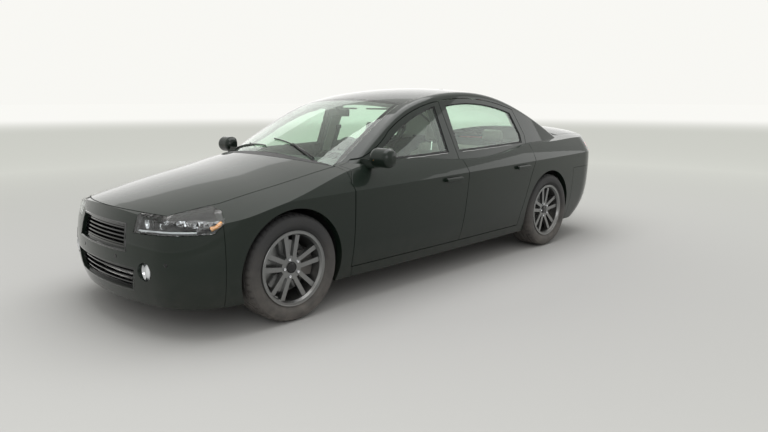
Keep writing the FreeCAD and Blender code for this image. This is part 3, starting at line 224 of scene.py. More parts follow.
def chain(name, points, closed=False):
    """One corner of a plane, extruded from point to point."""
    points = [Vector(p) for p in points]
    bpy.ops.object.select_all(action="DESELECT")
    bpy.ops.mesh.primitive_plane_add(size=0.001, location=points[0])
    obj = settle(bpy.context.object, name)
    edit(obj)
    bpy.ops.mesh.merge(type="CENTER")
    for before, after in zip(points, points[1:]):
        extrude(after - before)
    if closed:
        choose(obj, lambda c, n: (c - points[-1]).length < 1e-6, "VERT")
        extrude(points[0] - points[-1])
        bpy.ops.mesh.select_all(action="SELECT")
        bpy.ops.mesh.remove_doubles(threshold=0.00005)
    leave()
    return obj


def turned(name, profile, centre, axis=Y, side=X, steps=48):
    """A profile of (along the axis, radius) points, spun round the axis."""
    centre, axis, side = Vector(centre), Vector(axis), Vector(side)
    obj = chain(name, [centre + axis * a + side * r for a, r in profile])
    edit(obj)
    bpy.ops.mesh.spin(steps=steps, angle=2 * math.pi, center=centre, axis=axis)
    leave()
    tidy(obj)
    return obj


def upright(name, profile, centre, steps):
    return turned(name, profile, centre, Z, X, steps)


def lengthways(name, profile, centre, steps, forwards=1):
    return turned(name, profile, centre, (forwards, 0, 0), Z, steps)


def rod(name, points, radius, closed=False, sides=3):
    """A chain of points, thickened to a round rod."""
    obj = chain(name, points, closed)
    only(obj)
    bpy.ops.object.convert(target="CURVE")
    obj.data.bevel_depth = radius
    obj.data.bevel_resolution = sides
    obj.data.use_fill_caps = not closed
    bpy.ops.object.convert(target="MESH")
    tidy(obj)
    return obj


def strip(name, points, across, thickness):
    """A chain of points, extruded across and given a thickness."""
    obj = chain(name, points)
    edit(obj)
    extrude(across)
    bpy.ops.mesh.select_all(action="SELECT")
    bpy.ops.mesh.normals_make_consistent(inside=False)
    leave()
    return thicken(obj, thickness, 0)


# %% Copies
MIRROR_Y = Matrix.Scale(-1, 4, Y)


def copy_of(obj, name, matrix=Matrix()):
    """A copy with its own mesh, moved by a matrix. A mirrored one is turned right side out."""
    made = bpy.data.objects.new(name, obj.data.copy())
    made.data.name = name
    bpy.context.scene.collection.objects.link(made)
    made.data.transform(matrix)
    if matrix.determinant() < 0:
        edit(made)
        bpy.ops.mesh.flip_normals()
        leave()
    return made


def joined(name, *objs):
    only(*objs)
    bpy.ops.object.join()
    return settle(bpy.context.object, name)


def skin_of(node_name, name, test):
    """The faces of a solid that pass the test, as a new open sheet."""
    made = bpy.data.objects.new(name, nodes[node_name].data.copy())
    made.data.materials.clear()
    bpy.context.scene.collection.objects.link(made)
    edit(made)
    bpy.ops.mesh.remove_doubles(threshold=0.00003)
    choose(made, lambda c, n: not test(c, n))
    bpy.ops.mesh.delete(type="FACE")
    leave()
    return made


# %% Finishing a piece
def finish_piece(obj, body, material, angle=35):
    """Gives a piece its finish and the body that it rides on."""
    obj.data.materials.clear()
    obj.data.materials.append(material)
    only(obj)
    bpy.ops.object.shade_smooth_by_angle(angle=math.radians(angle))
    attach(obj, body)
    print(f"{obj.name}: {len(obj.data.polygons)} faces on {body}")
    return obj


def on_car(obj, material, angle=35):
    return finish_piece(obj, "car_body", material, angle)


def pair_on_car(left, material):
    """Finishes a piece of the left side and its mirrored twin."""
    twin = left.name.replace("left", "right") if "left" in left.name else f"{left.name}_right"
    right = copy_of(left, twin, MIRROR_Y)
    on_car(left, material)
    on_car(right, material)


# %% Touching the solids
def tree_of(obj):
    mesh = obj.data
    return BVHTree.FromPolygons([v.co for v in mesh.vertices], [p.vertices for p in mesh.polygons])


trees = {}


def touch(node_name, start, along):
    """The point and the normal where a line first meets a solid, or None."""
    if node_name not in trees:
        trees[node_name] = tree_of(nodes[node_name])
    place, normal, *_ = trees[node_name].ray_cast(Vector(start), Vector(along).normalized())
    return (place, normal) if place else None


def on_side(node_name, x, z, side=1):
    return touch(node_name, (x, side * 1.5, z), (0, -side, 0))


def on_nose(node_name, y, z):
    return touch(node_name, (3.2, y, z), (-1, 0, 0))


def on_tail(node_name, y, z):
    return touch(node_name, (-3.2, y, z), X)


def on_top(node_name, x, y):
    return touch(node_name, (x, y, 2.2), DOWN)


def height_over(node_name, x, y, start_z, otherwise):
    """The height at which a solid lies over a point, seen from below."""
    found = touch(node_name, (x, y, start_z), UP)
    return found[0].z if found else otherwise


print("door skin at the handle:", on_side("door_front_left", 0.1, 0.8))

# %% [markdown]
# ## Shared surface effects
# Paint, plastic, rubber and cloth all need fine unevenness, and the lower parts of a car that has
# been driven carry a little dust. Each effect is one node group with named inputs, so that every
# finish can use it with its own values instead of repeating the nodes.

# %% Node helpers
FLOAT, COLOR, VECTOR = "NodeSocketFloat", "NodeSocketColor", "NodeSocketVector"


def effect(name, inputs, outputs):
    """A node group with named inputs and outputs."""
    group = bpy.data.node_groups.new(name, "ShaderNodeTree")
    for label, kind, value in inputs:
        socket = group.interface.new_socket(name=label, in_out="INPUT", socket_type=kind)
        socket.default_value = value
    for label, kind in outputs:
        group.interface.new_socket(name=label, in_out="OUTPUT", socket_type=kind)
    return group, group.nodes.new("NodeGroupInput"), group.nodes.new("NodeGroupOutput")


def node(tree, kind, values={}, **settings):
    made = tree.nodes.new(f"ShaderNode{kind}")
    for key, value in settings.items():
        setattr(made, key, value)
    for key, value in values.items():
        made.inputs[key].default_value = value
    return made


def wire(tree, *links):
    """Joins sockets. Each link is (from node, its output, to node, its input)."""
    for source, output, target, socket in links:
        tree.links.new(source.outputs[output], target.inputs[socket])


# %% Fine grain: small bumps with an uneven gloss
grain, grain_in, grain_out = effect(
    "Fine grain",
    [("Scale", FLOAT, 900), ("Depth", FLOAT, 0.15), ("Dull", FLOAT, 0.5), ("Spread", FLOAT, 0.1)],
    [("Roughness", FLOAT), ("Normal", VECTOR)],
)
place = node(grain, "TexCoord")
cells = node(grain, "TexNoise", {"Detail": 3})
patches = node(grain, "TexNoise", {"Scale": 7})
bump = node(grain, "Bump", {"Distance": 0.001})
spread = node(grain, "Math", operation="MULTIPLY_ADD")
centred = node(grain, "Math", {1: 0.5}, operation="SUBTRACT")
wire(
    grain,
    (place, "Object", cells, "Vector"), (place, "Object", patches, "Vector"),
    (grain_in, "Scale", cells, "Scale"), (grain_in, "Depth", bump, "Strength"),
    (cells, "Fac", bump, "Height"), (patches, "Fac", centred, 0), (centred, 0, spread, 0),
    (grain_in, "Spread", spread, 1), (grain_in, "Dull", spread, 2),
    (spread, 0, grain_out, "Roughness"), (bump, "Normal", grain_out, "Normal"),
)

# %% Road dust: pale film that fades out with height
dust, dust_in, dust_out = effect(
    "Road dust",
    [
        ("Clean", COLOR, (0.1, 0.1, 0.1, 1)),
        ("Dust", COLOR, (0.19, 0.17, 0.15, 1)),
        ("Amount", FLOAT, 0.3),
        ("Top", FLOAT, 0.5),
    ],
    [("Color", COLOR)],
)
place = node(dust, "TexCoord")
split = node(dust, "SeparateXYZ")
fade = node(dust, "MapRange", {"From Min": 0.1, "To Min": 1, "To Max": 0})
specks = node(dust, "TexNoise", {"Scale": 14, "Detail": 6})
product = node(dust, "Math", operation="MULTIPLY")
share = node(dust, "Math", operation="MULTIPLY", use_clamp=True)
blend = node(dust, "Mix", data_type="RGBA")
wire(
    dust,
    (place, "Object", split, 0), (place, "Object", specks, "Vector"), (split, "Z", fade, "Value"),
    (dust_in, "Top", fade, "From Max"), (fade, 0, product, 0), (specks, "Fac", product, 1),
    (product, 0, share, 0), (dust_in, "Amount", share, 1), (share, 0, blend, "Factor"),
    (dust_in, "Clean", blend, "A"), (dust_in, "Dust", blend, "B"),
    (blend, "Result", dust_out, "Color"),
)

# %% Pebbled hide: rounded cells with fine creases between them, and painted shade in the creases
hide, hide_in, hide_out = effect(
    "Pebbled hide",
    [("Tone", COLOR, (0.1, 0.1, 0.1, 1)), ("Scale", FLOAT, 420), ("Depth", FLOAT, 0.4)],
    [("Color", COLOR), ("Roughness", FLOAT), ("Normal", VECTOR)],
)
place = node(hide, "TexCoord")
pebbles = node(hide, "TexVoronoi", feature="DISTANCE_TO_EDGE")
crease = node(hide, "MapRange", {"From Max": 0.18})
bump = node(hide, "Bump", {"Distance": 0.0008})
shade = node(hide, "Mix", {"Factor": 1}, data_type="RGBA", blend_type="MULTIPLY")
# The creases are painted darker in colour as well as sunk by the bump: painted shade in the creases.
crease_shade = node(hide, "MapRange", {"To Min": 0.62})
gloss = node(hide, "MapRange", {"To Min": 0.75, "To Max": 0.46})
wire(
    hide,
    (place, "Object", pebbles, "Vector"), (hide_in, "Scale", pebbles, "Scale"),
    (pebbles, "Distance", crease, "Value"), (crease, 0, bump, "Height"),
    (hide_in, "Depth", bump, "Strength"), (crease, 0, crease_shade, "Value"), (crease, 0, gloss, "Value"),
    (hide_in, "Tone", shade, "A"), (crease_shade, 0, shade, "B"), (shade, "Result", hide_out, "Color"),
    (gloss, 0, hide_out, "Roughness"), (bump, "Normal", hide_out, "Normal"),
)
print("effects:", grain.name, dust.name, hide.name)

# %% [markdown]
# ## Finishes
# Dark paint is a near-black green base with fine flakes that lift it a little. The clear coat over
# it mirrors the studio. Glass stays a plain transmission shader, slightly green. Plastics, rubber
# and metals differ in colour, gloss and the size of their grain.


# %% Material helpers
def finish(name, color, rough=0.5, metal=0.0, **sockets):
    """A new material and its shader."""
    made = bpy.data.materials.new(name)
    made.use_nodes = True
    made.diffuse_color = (*color, 1)
    shader = made.node_tree.nodes["Principled BSDF"]
    values = {"Base Color": (*color, 1), "Roughness": rough, "Metallic": metal}
    values.update({key.replace("_", " "): value for key, value in sockets.items()})
    for key, value in values.items():
        shader.inputs[key].default_value = value
    return made, shader


def place_effect(tree, group, **values):
    made = node(tree, "Group")
    made.node_tree = group
    for key, value in values.items():
        made.inputs[key].default_value = value
    return made


def grained(name, color, rough, scale, depth, metal=0.0, spread=0.12, **sockets):
    """A finish whose gloss and small bumps come from the fine grain effect."""
    made, shader = finish(name, color, rough, metal, **sockets)
    tree = made.node_tree
    fine = place_effect(tree, grain, Scale=scale, Depth=depth, Dull=rough, Spread=spread)
    wire(tree, (fine, "Roughness", shader, "Roughness"), (fine, "Normal", shader, "Normal"))
    return made


def dusty(name, color, rough, scale, depth, amount, top, metal=0.0, **sockets):
    """A grained finish that carries road dust low down."""
    made = grained(name, color, rough, scale, depth, metal, **sockets)
    tree = made.node_tree
    film = place_effect(tree, dust, Clean=(*color, 1), Amount=amount, Top=top)
    wire(tree, (film, "Color", tree.nodes["Principled BSDF"], "Base Color"))
    return made


def hide_finish(name, color, scale, depth):
    made, shader = finish(name, color, 0.55)
    pebble = place_effect(made.node_tree, hide, Tone=(*color, 1), Scale=scale, Depth=depth)
    same = [(pebble, key, shader, key) for key in ("Roughness", "Normal")]
    wire(made.node_tree, (pebble, "Color", shader, "Base Color"), *same)
    return made


# %% Body paint
PAINT_BASE = (0.006, 0.0105, 0.0075)
paint, shader = finish(
    "Dark metallic paint", PAINT_BASE, 0.45,
    Coat_Weight=1.0, Coat_Roughness=0.015, Coat_IOR=1.31, Specular_IOR_Level=0.12,
)
tree = paint.node_tree
place = node(tree, "TexCoord")
flakes = node(tree, "TexVoronoi", {"Scale": 1800})
sparkle = node(tree, "MapRange", {"To Min": 0.7, "To Max": 1.8})
base_mix = {"Factor": 1, "A": (*PAINT_BASE, 1)}
speck = node(tree, "Mix", base_mix, data_type="RGBA", blend_type="MULTIPLY")
film = place_effect(tree, dust, Dust=(0.10, 0.09, 0.08, 1), Amount=0.35, Top=0.42)
wire(
    tree,
    (place, "Object", flakes, "Vector"), (flakes, "Color", sparkle, "Value"),
    (sparkle, 0, speck, "B"), (speck, "Result", film, "Clean"), (film, "Color", shader, "Base Color"),
)
print("paint:", paint.name)

# %% Glass and lamps
glass, _ = finish("Pale green glass", (0.79, 0.95, 0.83), 0.0, Transmission_Weight=1.0, IOR=1.45)
clear_lens, _ = finish("Clear lamp lens", (0.93, 0.95, 0.96), 0.02, Transmission_Weight=1.0, IOR=1.4)
red_lens, _ = finish("Red lamp lens", (0.62, 0.03, 0.035), 0.03, Transmission_Weight=0.75, IOR=1.4)
frosted = grained("Frosted light guide", (0.78, 0.8, 0.82), 0.3, 700, 0.1, Coat_Weight=0.6)
amber = grained("Amber reflector", (0.9, 0.38, 0.07), 0.2, 500, 0.25, Coat_Weight=1.0)
red_guide = grained("Red light guide", (0.55, 0.03, 0.03), 0.25, 500, 0.2, Coat_Weight=1.0)
mirror_metal = grained("Silvered reflector", (0.82, 0.83, 0.85), 0.08, 300, 0.03, 1.0, 0.05)

# %% Metals, rubber, plastics and cloth
chrome = grained("Bright trim", (0.62, 0.63, 0.65), 0.12, 120, 0.02, 1.0, 0.06)
dark_chrome = grained("Dark bright trim", (0.30, 0.30, 0.30), 0.2, 120, 0.02, 1.0, 0.06)
ALLOY_TONE = (0.20, 0.205, 0.205)
alloy = dusty("Silver wheel paint", ALLOY_TONE, 0.3, 260, 0.04, 0.5, 0.5, 0.85, Coat_Weight=0.5)
cast_iron = dusty("Cast metal", (0.16, 0.155, 0.15), 0.6, 160, 0.5, 0.6, 0.6, 0.6)
bare_steel = dusty("Pressed steel", (0.32, 0.32, 0.33), 0.42, 120, 0.12, 0.5, 0.5, 0.9)
rubber = dusty("Tyre rubber", (0.022, 0.022, 0.023), 0.72, 420, 0.22, 0.75, 0.55)
seal_rubber = grained("Seal rubber", (0.012, 0.012, 0.013), 0.55, 600, 0.12)
black_plastic = dusty("Grained black plastic", (0.018, 0.018, 0.019), 0.5, 900, 0.35, 0.35, 0.5)
black_frit = grained("Black glass edge", (0.006, 0.006, 0.006), 0.7, 600, 0.02)
gloss_black = grained(
    "Gloss black trim", (0.008, 0.008, 0.009), 0.12, 200, 0.02,
    Coat_Weight=1.0, Coat_IOR=1.3, Specular_IOR_Level=0.2,
)
underseal = dusty("Dark underseal", (0.035, 0.035, 0.037), 0.8, 180, 0.6, 0.6, 0.5)
carpet = grained("Charcoal carpet", (0.05, 0.049, 0.05), 0.95, 1400, 0.9, spread=0.05)
headlining = grained("Pale headlining", (0.42, 0.41, 0.39), 0.9, 1500, 0.5, spread=0.05)
belt_web = grained("Belt webbing", (0.03, 0.03, 0.032), 0.7, 1600, 0.8)
seat_hide = hide_finish("Pale hide", (0.26, 0.245, 0.22), 380, 0.35)
soft_mould = hide_finish("Soft dashboard moulding", (0.035, 0.034, 0.034), 620, 0.4)
wheel_hide = hide_finish("Wheel rim hide", (0.03, 0.03, 0.03), 700, 0.3)
piping_thread, _ = finish("Piping", (0.30, 0.29, 0.27), 0.6)
print("finishes:", len(bpy.data.materials))

# %% Dress the solids that keep their own shape
DRESS = {
    paint: "body_side_left body_side_right roof_panel front_fenders front_bumper rear_bumper hood "
    "trunk_lid door_front_left door_front_right door_rear_left door_rear_right mirror_left mirror_right",
    glass: "windshield rear_window door_glass_front_left door_glass_front_right "
    "door_glass_rear_left door_glass_rear_right",
    rubber: "tyre_front_left tyre_front_right tyre_rear_left tyre_rear_right",
    alloy: "rim_front_left rim_front_right rim_rear_left rim_rear_right",
    cast_iron: "knuckle_left knuckle_right front_subframe rear_axle engine",
    bare_steel: "exhaust radiator",
    underseal: "floor_pan",
    black_plastic: "wheel_liners cowls",
    gloss_black: "grilles",
    soft_mould: "dashboard",
    wheel_hide: "steering_wheel",
    seat_hide: "front_seats rear_seat",
    clear_lens: "headlamps",
    red_lens: "tail_lamps",
}
for material, names in DRESS.items():
    for name in names.split():
        for slot in nodes[name].material_slots:
            slot.material = material
print("dressed:", sum(len(v.split()) for v in DRESS.values()))

# %% [markdown]
# ## Studio
# The picture shows a pale grey floor that turns white far away, with no visible corner. One large
# plane does both: its colour is grey near the car and painted lighter with distance, as painted
# light, and in the distance it glows with the white of the wall, but only where it is seen or
# mirrored, so that it sheds no light on the car. Soft lamps hang above. Two wide bright walls,
# which only mirrors see, give the bonnet and the doors' shoulders the pale reflections that they
# have in the picture.

# %% Floor
WALL_WHITE = (0.94, 0.935, 0.90, 1)
FLOOR_NEAR = (0.45, 0.447, 0.442)
FLOOR_FAR = (0.87, 0.885, 0.85, 1)
bpy.ops.object.select_all(action="DESELECT")
bpy.ops.mesh.primitive_grid_add(x_subdivisions=8, y_subdivisions=8, size=400)
floor = settle(bpy.context.object, "studio_floor")
floor_finish, shader = finish(
    "Studio floor", FLOOR_NEAR, 0.7, Emission_Strength=1.0, Specular_IOR_Level=0.0
)
tree = floor_finish.node_tree
place = node(tree, "TexCoord")
away = node(tree, "VectorMath", operation="LENGTH")
far = node(tree, "MapRange", {"From Min": 24, "From Max": 46}, interpolation_type="SMOOTHSTEP")
# The floor's colour is painted lighter with distance from the car: painted light on the floor.
lighter = node(tree, "MapRange", {"From Min": 1.8, "From Max": 9.5})
middle = node(tree, "Mix", {"A": (*FLOOR_NEAR, 1), "B": FLOOR_FAR}, data_type="RGBA")
ground = node(tree, "Mix", {"B": (0.02, 0.02, 0.02, 1)}, data_type="RGBA")
white = node(tree, "Mix", {"A": (0, 0, 0, 1), "B": WALL_WHITE}, data_type="RGBA")
paths = node(tree, "LightPath")
seen = node(tree, "Math", operation="MAXIMUM")
glow = node(tree, "Math", operation="MULTIPLY")
wire(
    tree,
    (place, "Object", away, 0), (away, "Value", far, "Value"), (away, "Value", lighter, "Value"),
    (lighter, 0, middle, "Factor"), (middle, "Result", ground, "A"), (far, 0, ground, "Factor"),
    (ground, "Result", shader, "Base Color"), (paths, "Is Camera Ray", seen, 0),
    (paths, "Is Glossy Ray", seen, 1), (far, 0, glow, 0), (seen, 0, glow, 1),
    (glow, 0, white, "Factor"), (white, "Result", shader, "Emission Color"),
)
floor.data.materials.append(floor_finish)
floor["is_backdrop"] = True

# %% Room
ROOM_AS_LIGHT = 0.74  # the room's strength as a light, below its full strength where it is seen
MIRRORED_SHARE = 0.4  # how far the room mirrored in the paint rises between the two
world = bpy.data.worlds.new("White studio")
bpy.context.scene.world = world
world.use_nodes = True
tree = world.node_tree
background = tree.nodes["Background"]
background.inputs["Color"].default_value = WALL_WHITE
paths = node(tree, "LightPath")
seen = node(tree, "Math", operation="MAXIMUM")
mirrored = node(tree, "Math", {1: MIRRORED_SHARE}, operation="MULTIPLY")
either = node(tree, "Math", operation="MAXIMUM")
level = node(tree, "MapRange", {"To Min": ROOM_AS_LIGHT, "To Max": 1.0})
wire(
    tree,
    (paths, "Is Camera Ray", seen, 0), (paths, "Is Transmission Ray", seen, 1),
    (paths, "Is Glossy Ray", mirrored, 0), (seen, 0, either, 0), (mirrored, 0, either, 1),
    (either, 0, level, "Value"), (level, 0, background, "Strength"),
)


# %% Lamps
def soft_lamp(name, place, aim, size, power):
    bpy.ops.object.light_add(type="AREA", location=place)
    lamp = bpy.context.object
    lamp.name = name
    lamp.data.shape = "RECTANGLE"
    lamp.data.size, lamp.data.size_y = size
    lamp.data.energy = power
    lamp.rotation_euler = (Vector(aim) - Vector(place)).to_track_quat("-Z", "Y").to_euler()
    return lamp


soft_lamp("overhead", (0, 0, 5.2), (0, 0, 0), (7, 4), 230)
soft_lamp("front_left_fill", (5.5, 5.0, 3.2), (0.6, 0, 0.6), (4, 3), 70)
for mirrored_lamp in (
    soft_lamp("back_wall", (-10.5, -11.5, 5.6), (0.5, 0, 1.0), (34, 8.6), 480),
    soft_lamp("left_wall", (-10.6, 9.0, 4.7), (0, 0, 4.7), (11, 7.6), 300),
):
    mirrored_lamp.visible_diffuse = False
    mirrored_lamp.visible_camera = False
print("studio ready")

# %% [markdown]
# ## Tyres
# A road tyre has a rounded shoulder, four grooves round its tread, and short slots across its outer
# ribs. A turned profile gives the grooves. The slots are faces of the outer ribs, picked by
# their turn round the wheel and pushed in. One tyre is made and copied to the four wheels.

# %% Model one tyre
TYRE_R, RIM_R = 0.339, 0.238
TYRE_HALF, RIM_HALF = 0.1225, 0.108
FRONT_X, REAR_X, TRACK = 1.608, -1.352, 0.783
GROOVES = [(-0.066, 0.010), (-0.024, 0.009), (0.024, 0.009), (0.066, 0.010)]  # middle, width
GROOVE_FLOOR, TREAD_R = TYRE_R - 0.0075, TYRE_R - 0.0006
bead = [(-0.012, -0.0087), (-0.0084, 0.0004), (-0.002, 0.010)]  # from the rim's edge
wall = [(-0.008, 0.019), (-0.0065, 0.0205), (-0.0045, 0.022), (-0.002, 0.038), (-0.001, 0.058)]
wall += [(-0.003, 0.072), (-0.0065, 0.078), (-0.0062, 0.0815)]
shoulder = [(-0.012, -0.014), (-0.020, -0.0075), (-0.030, -0.003)]
half = [(RIM_HALF + a, RIM_R + r) for a, r in bead] + [(TYRE_HALF + a, RIM_R + r) for a, r in wall]
half += [(TYRE_HALF + a, TYRE_R + r) for a, r in shoulder]
tread = []
for middle, wide in GROOVES:
    a, b = middle - wide / 2, middle + wide / 2
    tread += [(a, TREAD_R), (a + 0.0015, GROOVE_FLOOR), (b - 0.0015, GROOVE_FLOOR), (b, TREAD_R)]
profile = [(-a, r) for a, r in half] + tread + half[::-1]
hub_left = Vector((FRONT_X, TRACK, TYRE_R))
tyre = turned("tyre_skin_front_left", profile, hub_left, steps=144)


def is_slot(c, n):
    """Every third face of the outer ribs."""
    turn = math.degrees(math.atan2(c.z - TYRE_R, c.x - FRONT_X)) % 360
    out = math.hypot(c.z - TYRE_R, c.x - FRONT_X)
    return int(turn / 2.5) % 3 == 0 and 0.074 < abs(c.y - TRACK) < 0.115 and out > TYRE_R - 0.012


edit(tyre)
picked = choose(tyre, is_slot)
bpy.ops.mesh.inset(thickness=0.0022, depth=0.0, use_individual=False)
bpy.ops.mesh.extrude_region_shrink_fatten(TRANSFORM_OT_shrink_fatten={"value": -0.004})
leave()
print("tread slots:", picked)

# %% Copy it to the other wheels
WHEELS = {
    "front_left": (FRONT_X, 1),
    "front_right": (FRONT_X, -1),
    "rear_left": (REAR_X, 1),
    "rear_right": (REAR_X, -1),
}


def on_wheels(piece, label, material, angle=35):
    """Finishes a piece of the front left wheel and its copies on the other three."""
    made = {}
    for corner, (x, side) in WHEELS.items():
        shift = Matrix.Translation((x - FRONT_X, 0, 0))
        if side < 0:
            shift = MIRROR_Y @ shift
        one = piece if corner == "front_left" else copy_of(piece, f"{label}_{corner}", shift)
        made[corner] = finish_piece(one, f"wheel_{corner}", material, angle)
    return made


for corner, skin in on_wheels(tyre, "tyre_skin", rubber, 50).items():
    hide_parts(f"tyre_{corner}")

# %% [markdown]
# ## Wheel centres
# Five bolts sit in pockets round a plain round cap, with a machined lip at the rim's edge. The
# bolts are one hexagon head, bevelled and copied round the hub.

# %% Bolts, cap, valve and rim lip
BOLT_CIRCLE, BOLT_OUT = 0.056, 0.076
bpy.ops.object.select_all(action="DESELECT")
bpy.ops.mesh.primitive_cylinder_add(vertices=6, radius=0.0105, depth=0.016)
bolt = bpy.context.object
bolt.rotation_euler = (math.radians(90), 0, 0)
bolt.location = hub_left + Vector((BOLT_CIRCLE, BOLT_OUT, 0))
settle(bolt, "bolt")
rounded(stepped(bolt, 1, 1, (0.002, 0.001), (0.003, -0.003)), 0.0012, 2)
bolts = [bolt]
for k in range(1, 5):
    turn = Matrix.Rotation(math.radians(72 * k), 4, "Y")
    about_hub = Matrix.Translation(hub_left) @ turn @ Matrix.Translation(-hub_left)
    bolts.append(copy_of(bolt, f"bolt_{k}", about_hub))
bolts = joined("wheel_bolts_front_left", *bolts)
CAP = [(0.066, 0.036), (0.078, 0.036), (0.0815, 0.0335), (0.0815, 0.030), (0.0795, 0.029)]
CAP += [(0.082, 0.018), (0.083, 0.0001)]
LIP = [(0.094, 0.2365), (0.1085, 0.2385), (0.1105, 0.2365), (0.1095, 0.232), (0.098, 0.2275)]
LIP += [(0.0935, 0.2285)]
VALVE = [(0.086, 0.0001), (0.0865, 0.0028), (0.092, 0.0034), (0.108, 0.0034), (0.110, 0.0028)]
VALVE += [(0.110, 0.0001)]
VALVE_OFF = Vector((0.126, -0.022, 0.174))
cap = turned("wheel_cap_front_left", CAP, hub_left)
lip = turned("rim_lip_front_left", LIP, hub_left, steps=96)
valve = turned("valve_front_left", VALVE, hub_left + VALVE_OFF, steps=16)
on_wheels(bolts, "wheel_bolts", chrome)
on_wheels(cap, "wheel_cap", gloss_black)
on_wheels(lip, "rim_lip", alloy)
on_wheels(valve, "valve", seal_rubber)

# %% [markdown]
# ## Seals round the glass
# Each side pane is held by a black rubber channel: the pane's own outer face, inset and cut to a
# ring, so that it follows the curved glass. The windscreen and rear window have a black band
# inside their edges, made the same way and sunk into the glass.


# %% Rubber channels and black bands
def pane_ring(node_name, name, test, wide, out, thick, sunk=0.0):
    """The rim of a pane's outer face, as a ring of a given width and thickness."""
    ring = skin_of(node_name, name, test)
    edit(ring)
    bpy.ops.mesh.dissolve_limited(angle_limit=math.radians(0.4))
    bpy.ops.mesh.select_all(action="SELECT")
    bpy.ops.mesh.inset(thickness=wide, depth=0.0)
    bpy.ops.mesh.delete(type="FACE")
    bpy.ops.mesh.select_all(action="SELECT")
    bpy.ops.transform.shrink_fatten(value=-sunk)
    leave()
    return thicken(ring, thick, out)


for side_name, side in SIDES:
    for end in ("front", "rear"):
        pane, label = f"door_glass_{end}_{side_name}", f"glass_seal_{end}_{side_name}"
        ring = pane_ring(pane, label, lambda c, n: n.y * side > 0.6, 0.011, 1, 0.004)
        finish_piece(ring, f"{end}_door_{side_name}", seal_rubber)
for pane, label, wide in (
    ("windshield", "windscreen_band", 0.035),
    ("rear_window", "rear_glass_band", 0.03),
):
    band = pane_ring(pane, label, lambda c, n: n.z > 0.25, wide, -1, 0.0008, 0.0016)
    on_car(band, black_frit)

# %% [markdown]
# ## Lamps
# A lamp is a clear cover over a dark bowl with lenses inside. The cover and the bowl both come from
# the outer faces of the lamp's solid: the cover is that sheet with a thin wall, and the bowl is the
# same sheet pushed in, with its front taken away. Lens units are turned profiles.


# %% Covers and bowls
def lamp_shell(node_name, label, outwards, cover_finish, bowl_finish, depth):
    cover = skin_of(node_name, f"{label}_covers", outwards)
    bowl = copy_of(cover, f"{label}_bowls")
    thicken(cover, 0.0028, -1)
    thicken(bowl, depth, -1)
    edit(bowl)
    choose(bowl, outwards)
    bpy.ops.mesh.delete(type="FACE")
    leave()
    on_car(cover, cover_finish, 40)
    on_car(bowl, bowl_finish, 25)
    return cover


def out_front(c, n):
    side = 1 if c.y > 0 else -1
    return n.x * 0.55 + n.y * side * 0.35 + max(n.z, 0) * 0.75 > 0.3 and n.z > -0.45


def out_back(c, n):
    side = 1 if c.y > 0 else -1
    return -n.x * 0.5 + n.y * side * 0.5 + max(n.z, 0) * 0.6 > 0.45 and n.z > -0.5


head_cover = lamp_shell("headlamps", "headlamp", out_front, clear_lens, gloss_black, 0.05)
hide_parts("headlamps")
tail_cover = lamp_shell("tail_lamps", "tail_lamp", out_back, red_lens, red_guide, 0.03)
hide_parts("tail_lamps")

# %% Lens units in the headlamps
BEZEL = [(-0.026, 0.021), (-0.006, 0.025), (0.004, 0.0302), (0.006, 0.0302), (0.005, 0.0288)]
BEZEL += [(-0.004, 0.023), (-0.024, 0.019), (-0.026, 0.021)]
LENS = [(-0.02, 0.0225), (-0.012, 0.0215), (-0.006, 0.018), (-0.002, 0.012), (-0.0005, 0.006)]
LENS += [(0.0, 0.0001)]
for number, (y, z) in enumerate(((0.47, 0.660), (0.56, 0.661), (0.65, 0.662), (0.73, 0.658))):
    centre = on_nose("headlamps", y, z)[0] - Vector((0.026 + 0.02 * number, 0, 0))
    bezel = lengthways(f"lamp_bezel_{number}", BEZEL, centre, 36)
    lens = lengthways(f"lamp_lens_{number}", LENS, centre, 32)
    pair_on_car(bezel, chrome)
    pair_on_car(lens, clear_lens if number else frosted)


# %% Light strips under the lens units, amber corners, tail lamp guides
def inside_points(finder, node_name, places, shift):
    """Points a little behind the front of a lamp, where the lamp is there to be hit."""
    found = [finder(node_name, y, z) for y, z in places]
    return [f[0] + Vector((shift, 0, 0)) for f in found if f]


places = [(y, 0.622 + 0.03 * (y - 0.42)) for y in (0.43, 0.49, 0.55, 0.61, 0.67, 0.73, 0.78)]
strip_points = inside_points(on_nose, "headlamps", places, -0.012)
pair_on_car(rod("day_strip_left", strip_points, 0.0055), frosted)
corner_points = [
    on_side("headlamps", x, z)[0] + Vector((0, -0.020, -0.004))
    for x, z in ((2.125, 0.652), (2.095, 0.668), (2.065, 0.684))
]
pair_on_car(rod("amber_corner_left", corner_points, 0.013), amber)
guides = []
for number, z in enumerate((0.822, 0.862, 0.902)):
    places = [(y, z + 0.06 * (y - 0.5)) for y in (0.45, 0.50, 0.56, 0.62, 0.68, 0.74, 0.79)]
    points = inside_points(on_tail, "tail_lamps", places, 0.014)
    guides.append(rod(f"tail_guide_{number}", points, 0.008))
pair_on_car(joined("tail_guides_left", *guides), red_guide)

# %% [markdown]
# ## Front and rear details
# Each grille opening has a gloss black frame and a fine lattice behind its slats. Fog lamps sit in
# the round pockets. A frame is a rod laid on the bumper's skin, so it follows the bow of the nose.

# %% Grille frames
FRAMES = {  # corners as (y, z), and the rod's radius
    "upper": (((-0.306, 0.646), (0.306, 0.646), (0.337, 0.494), (-0.337, 0.494)), 0.0075),
    "lower": (((-0.426, 0.406), (0.426, 0.406), (0.386, 0.264), (-0.386, 0.264)), 0.005),
}


def between(a, b, count):
    return [tuple(p + (q - p) * k / count for p, q in zip(a, b)) for k in range(count)]


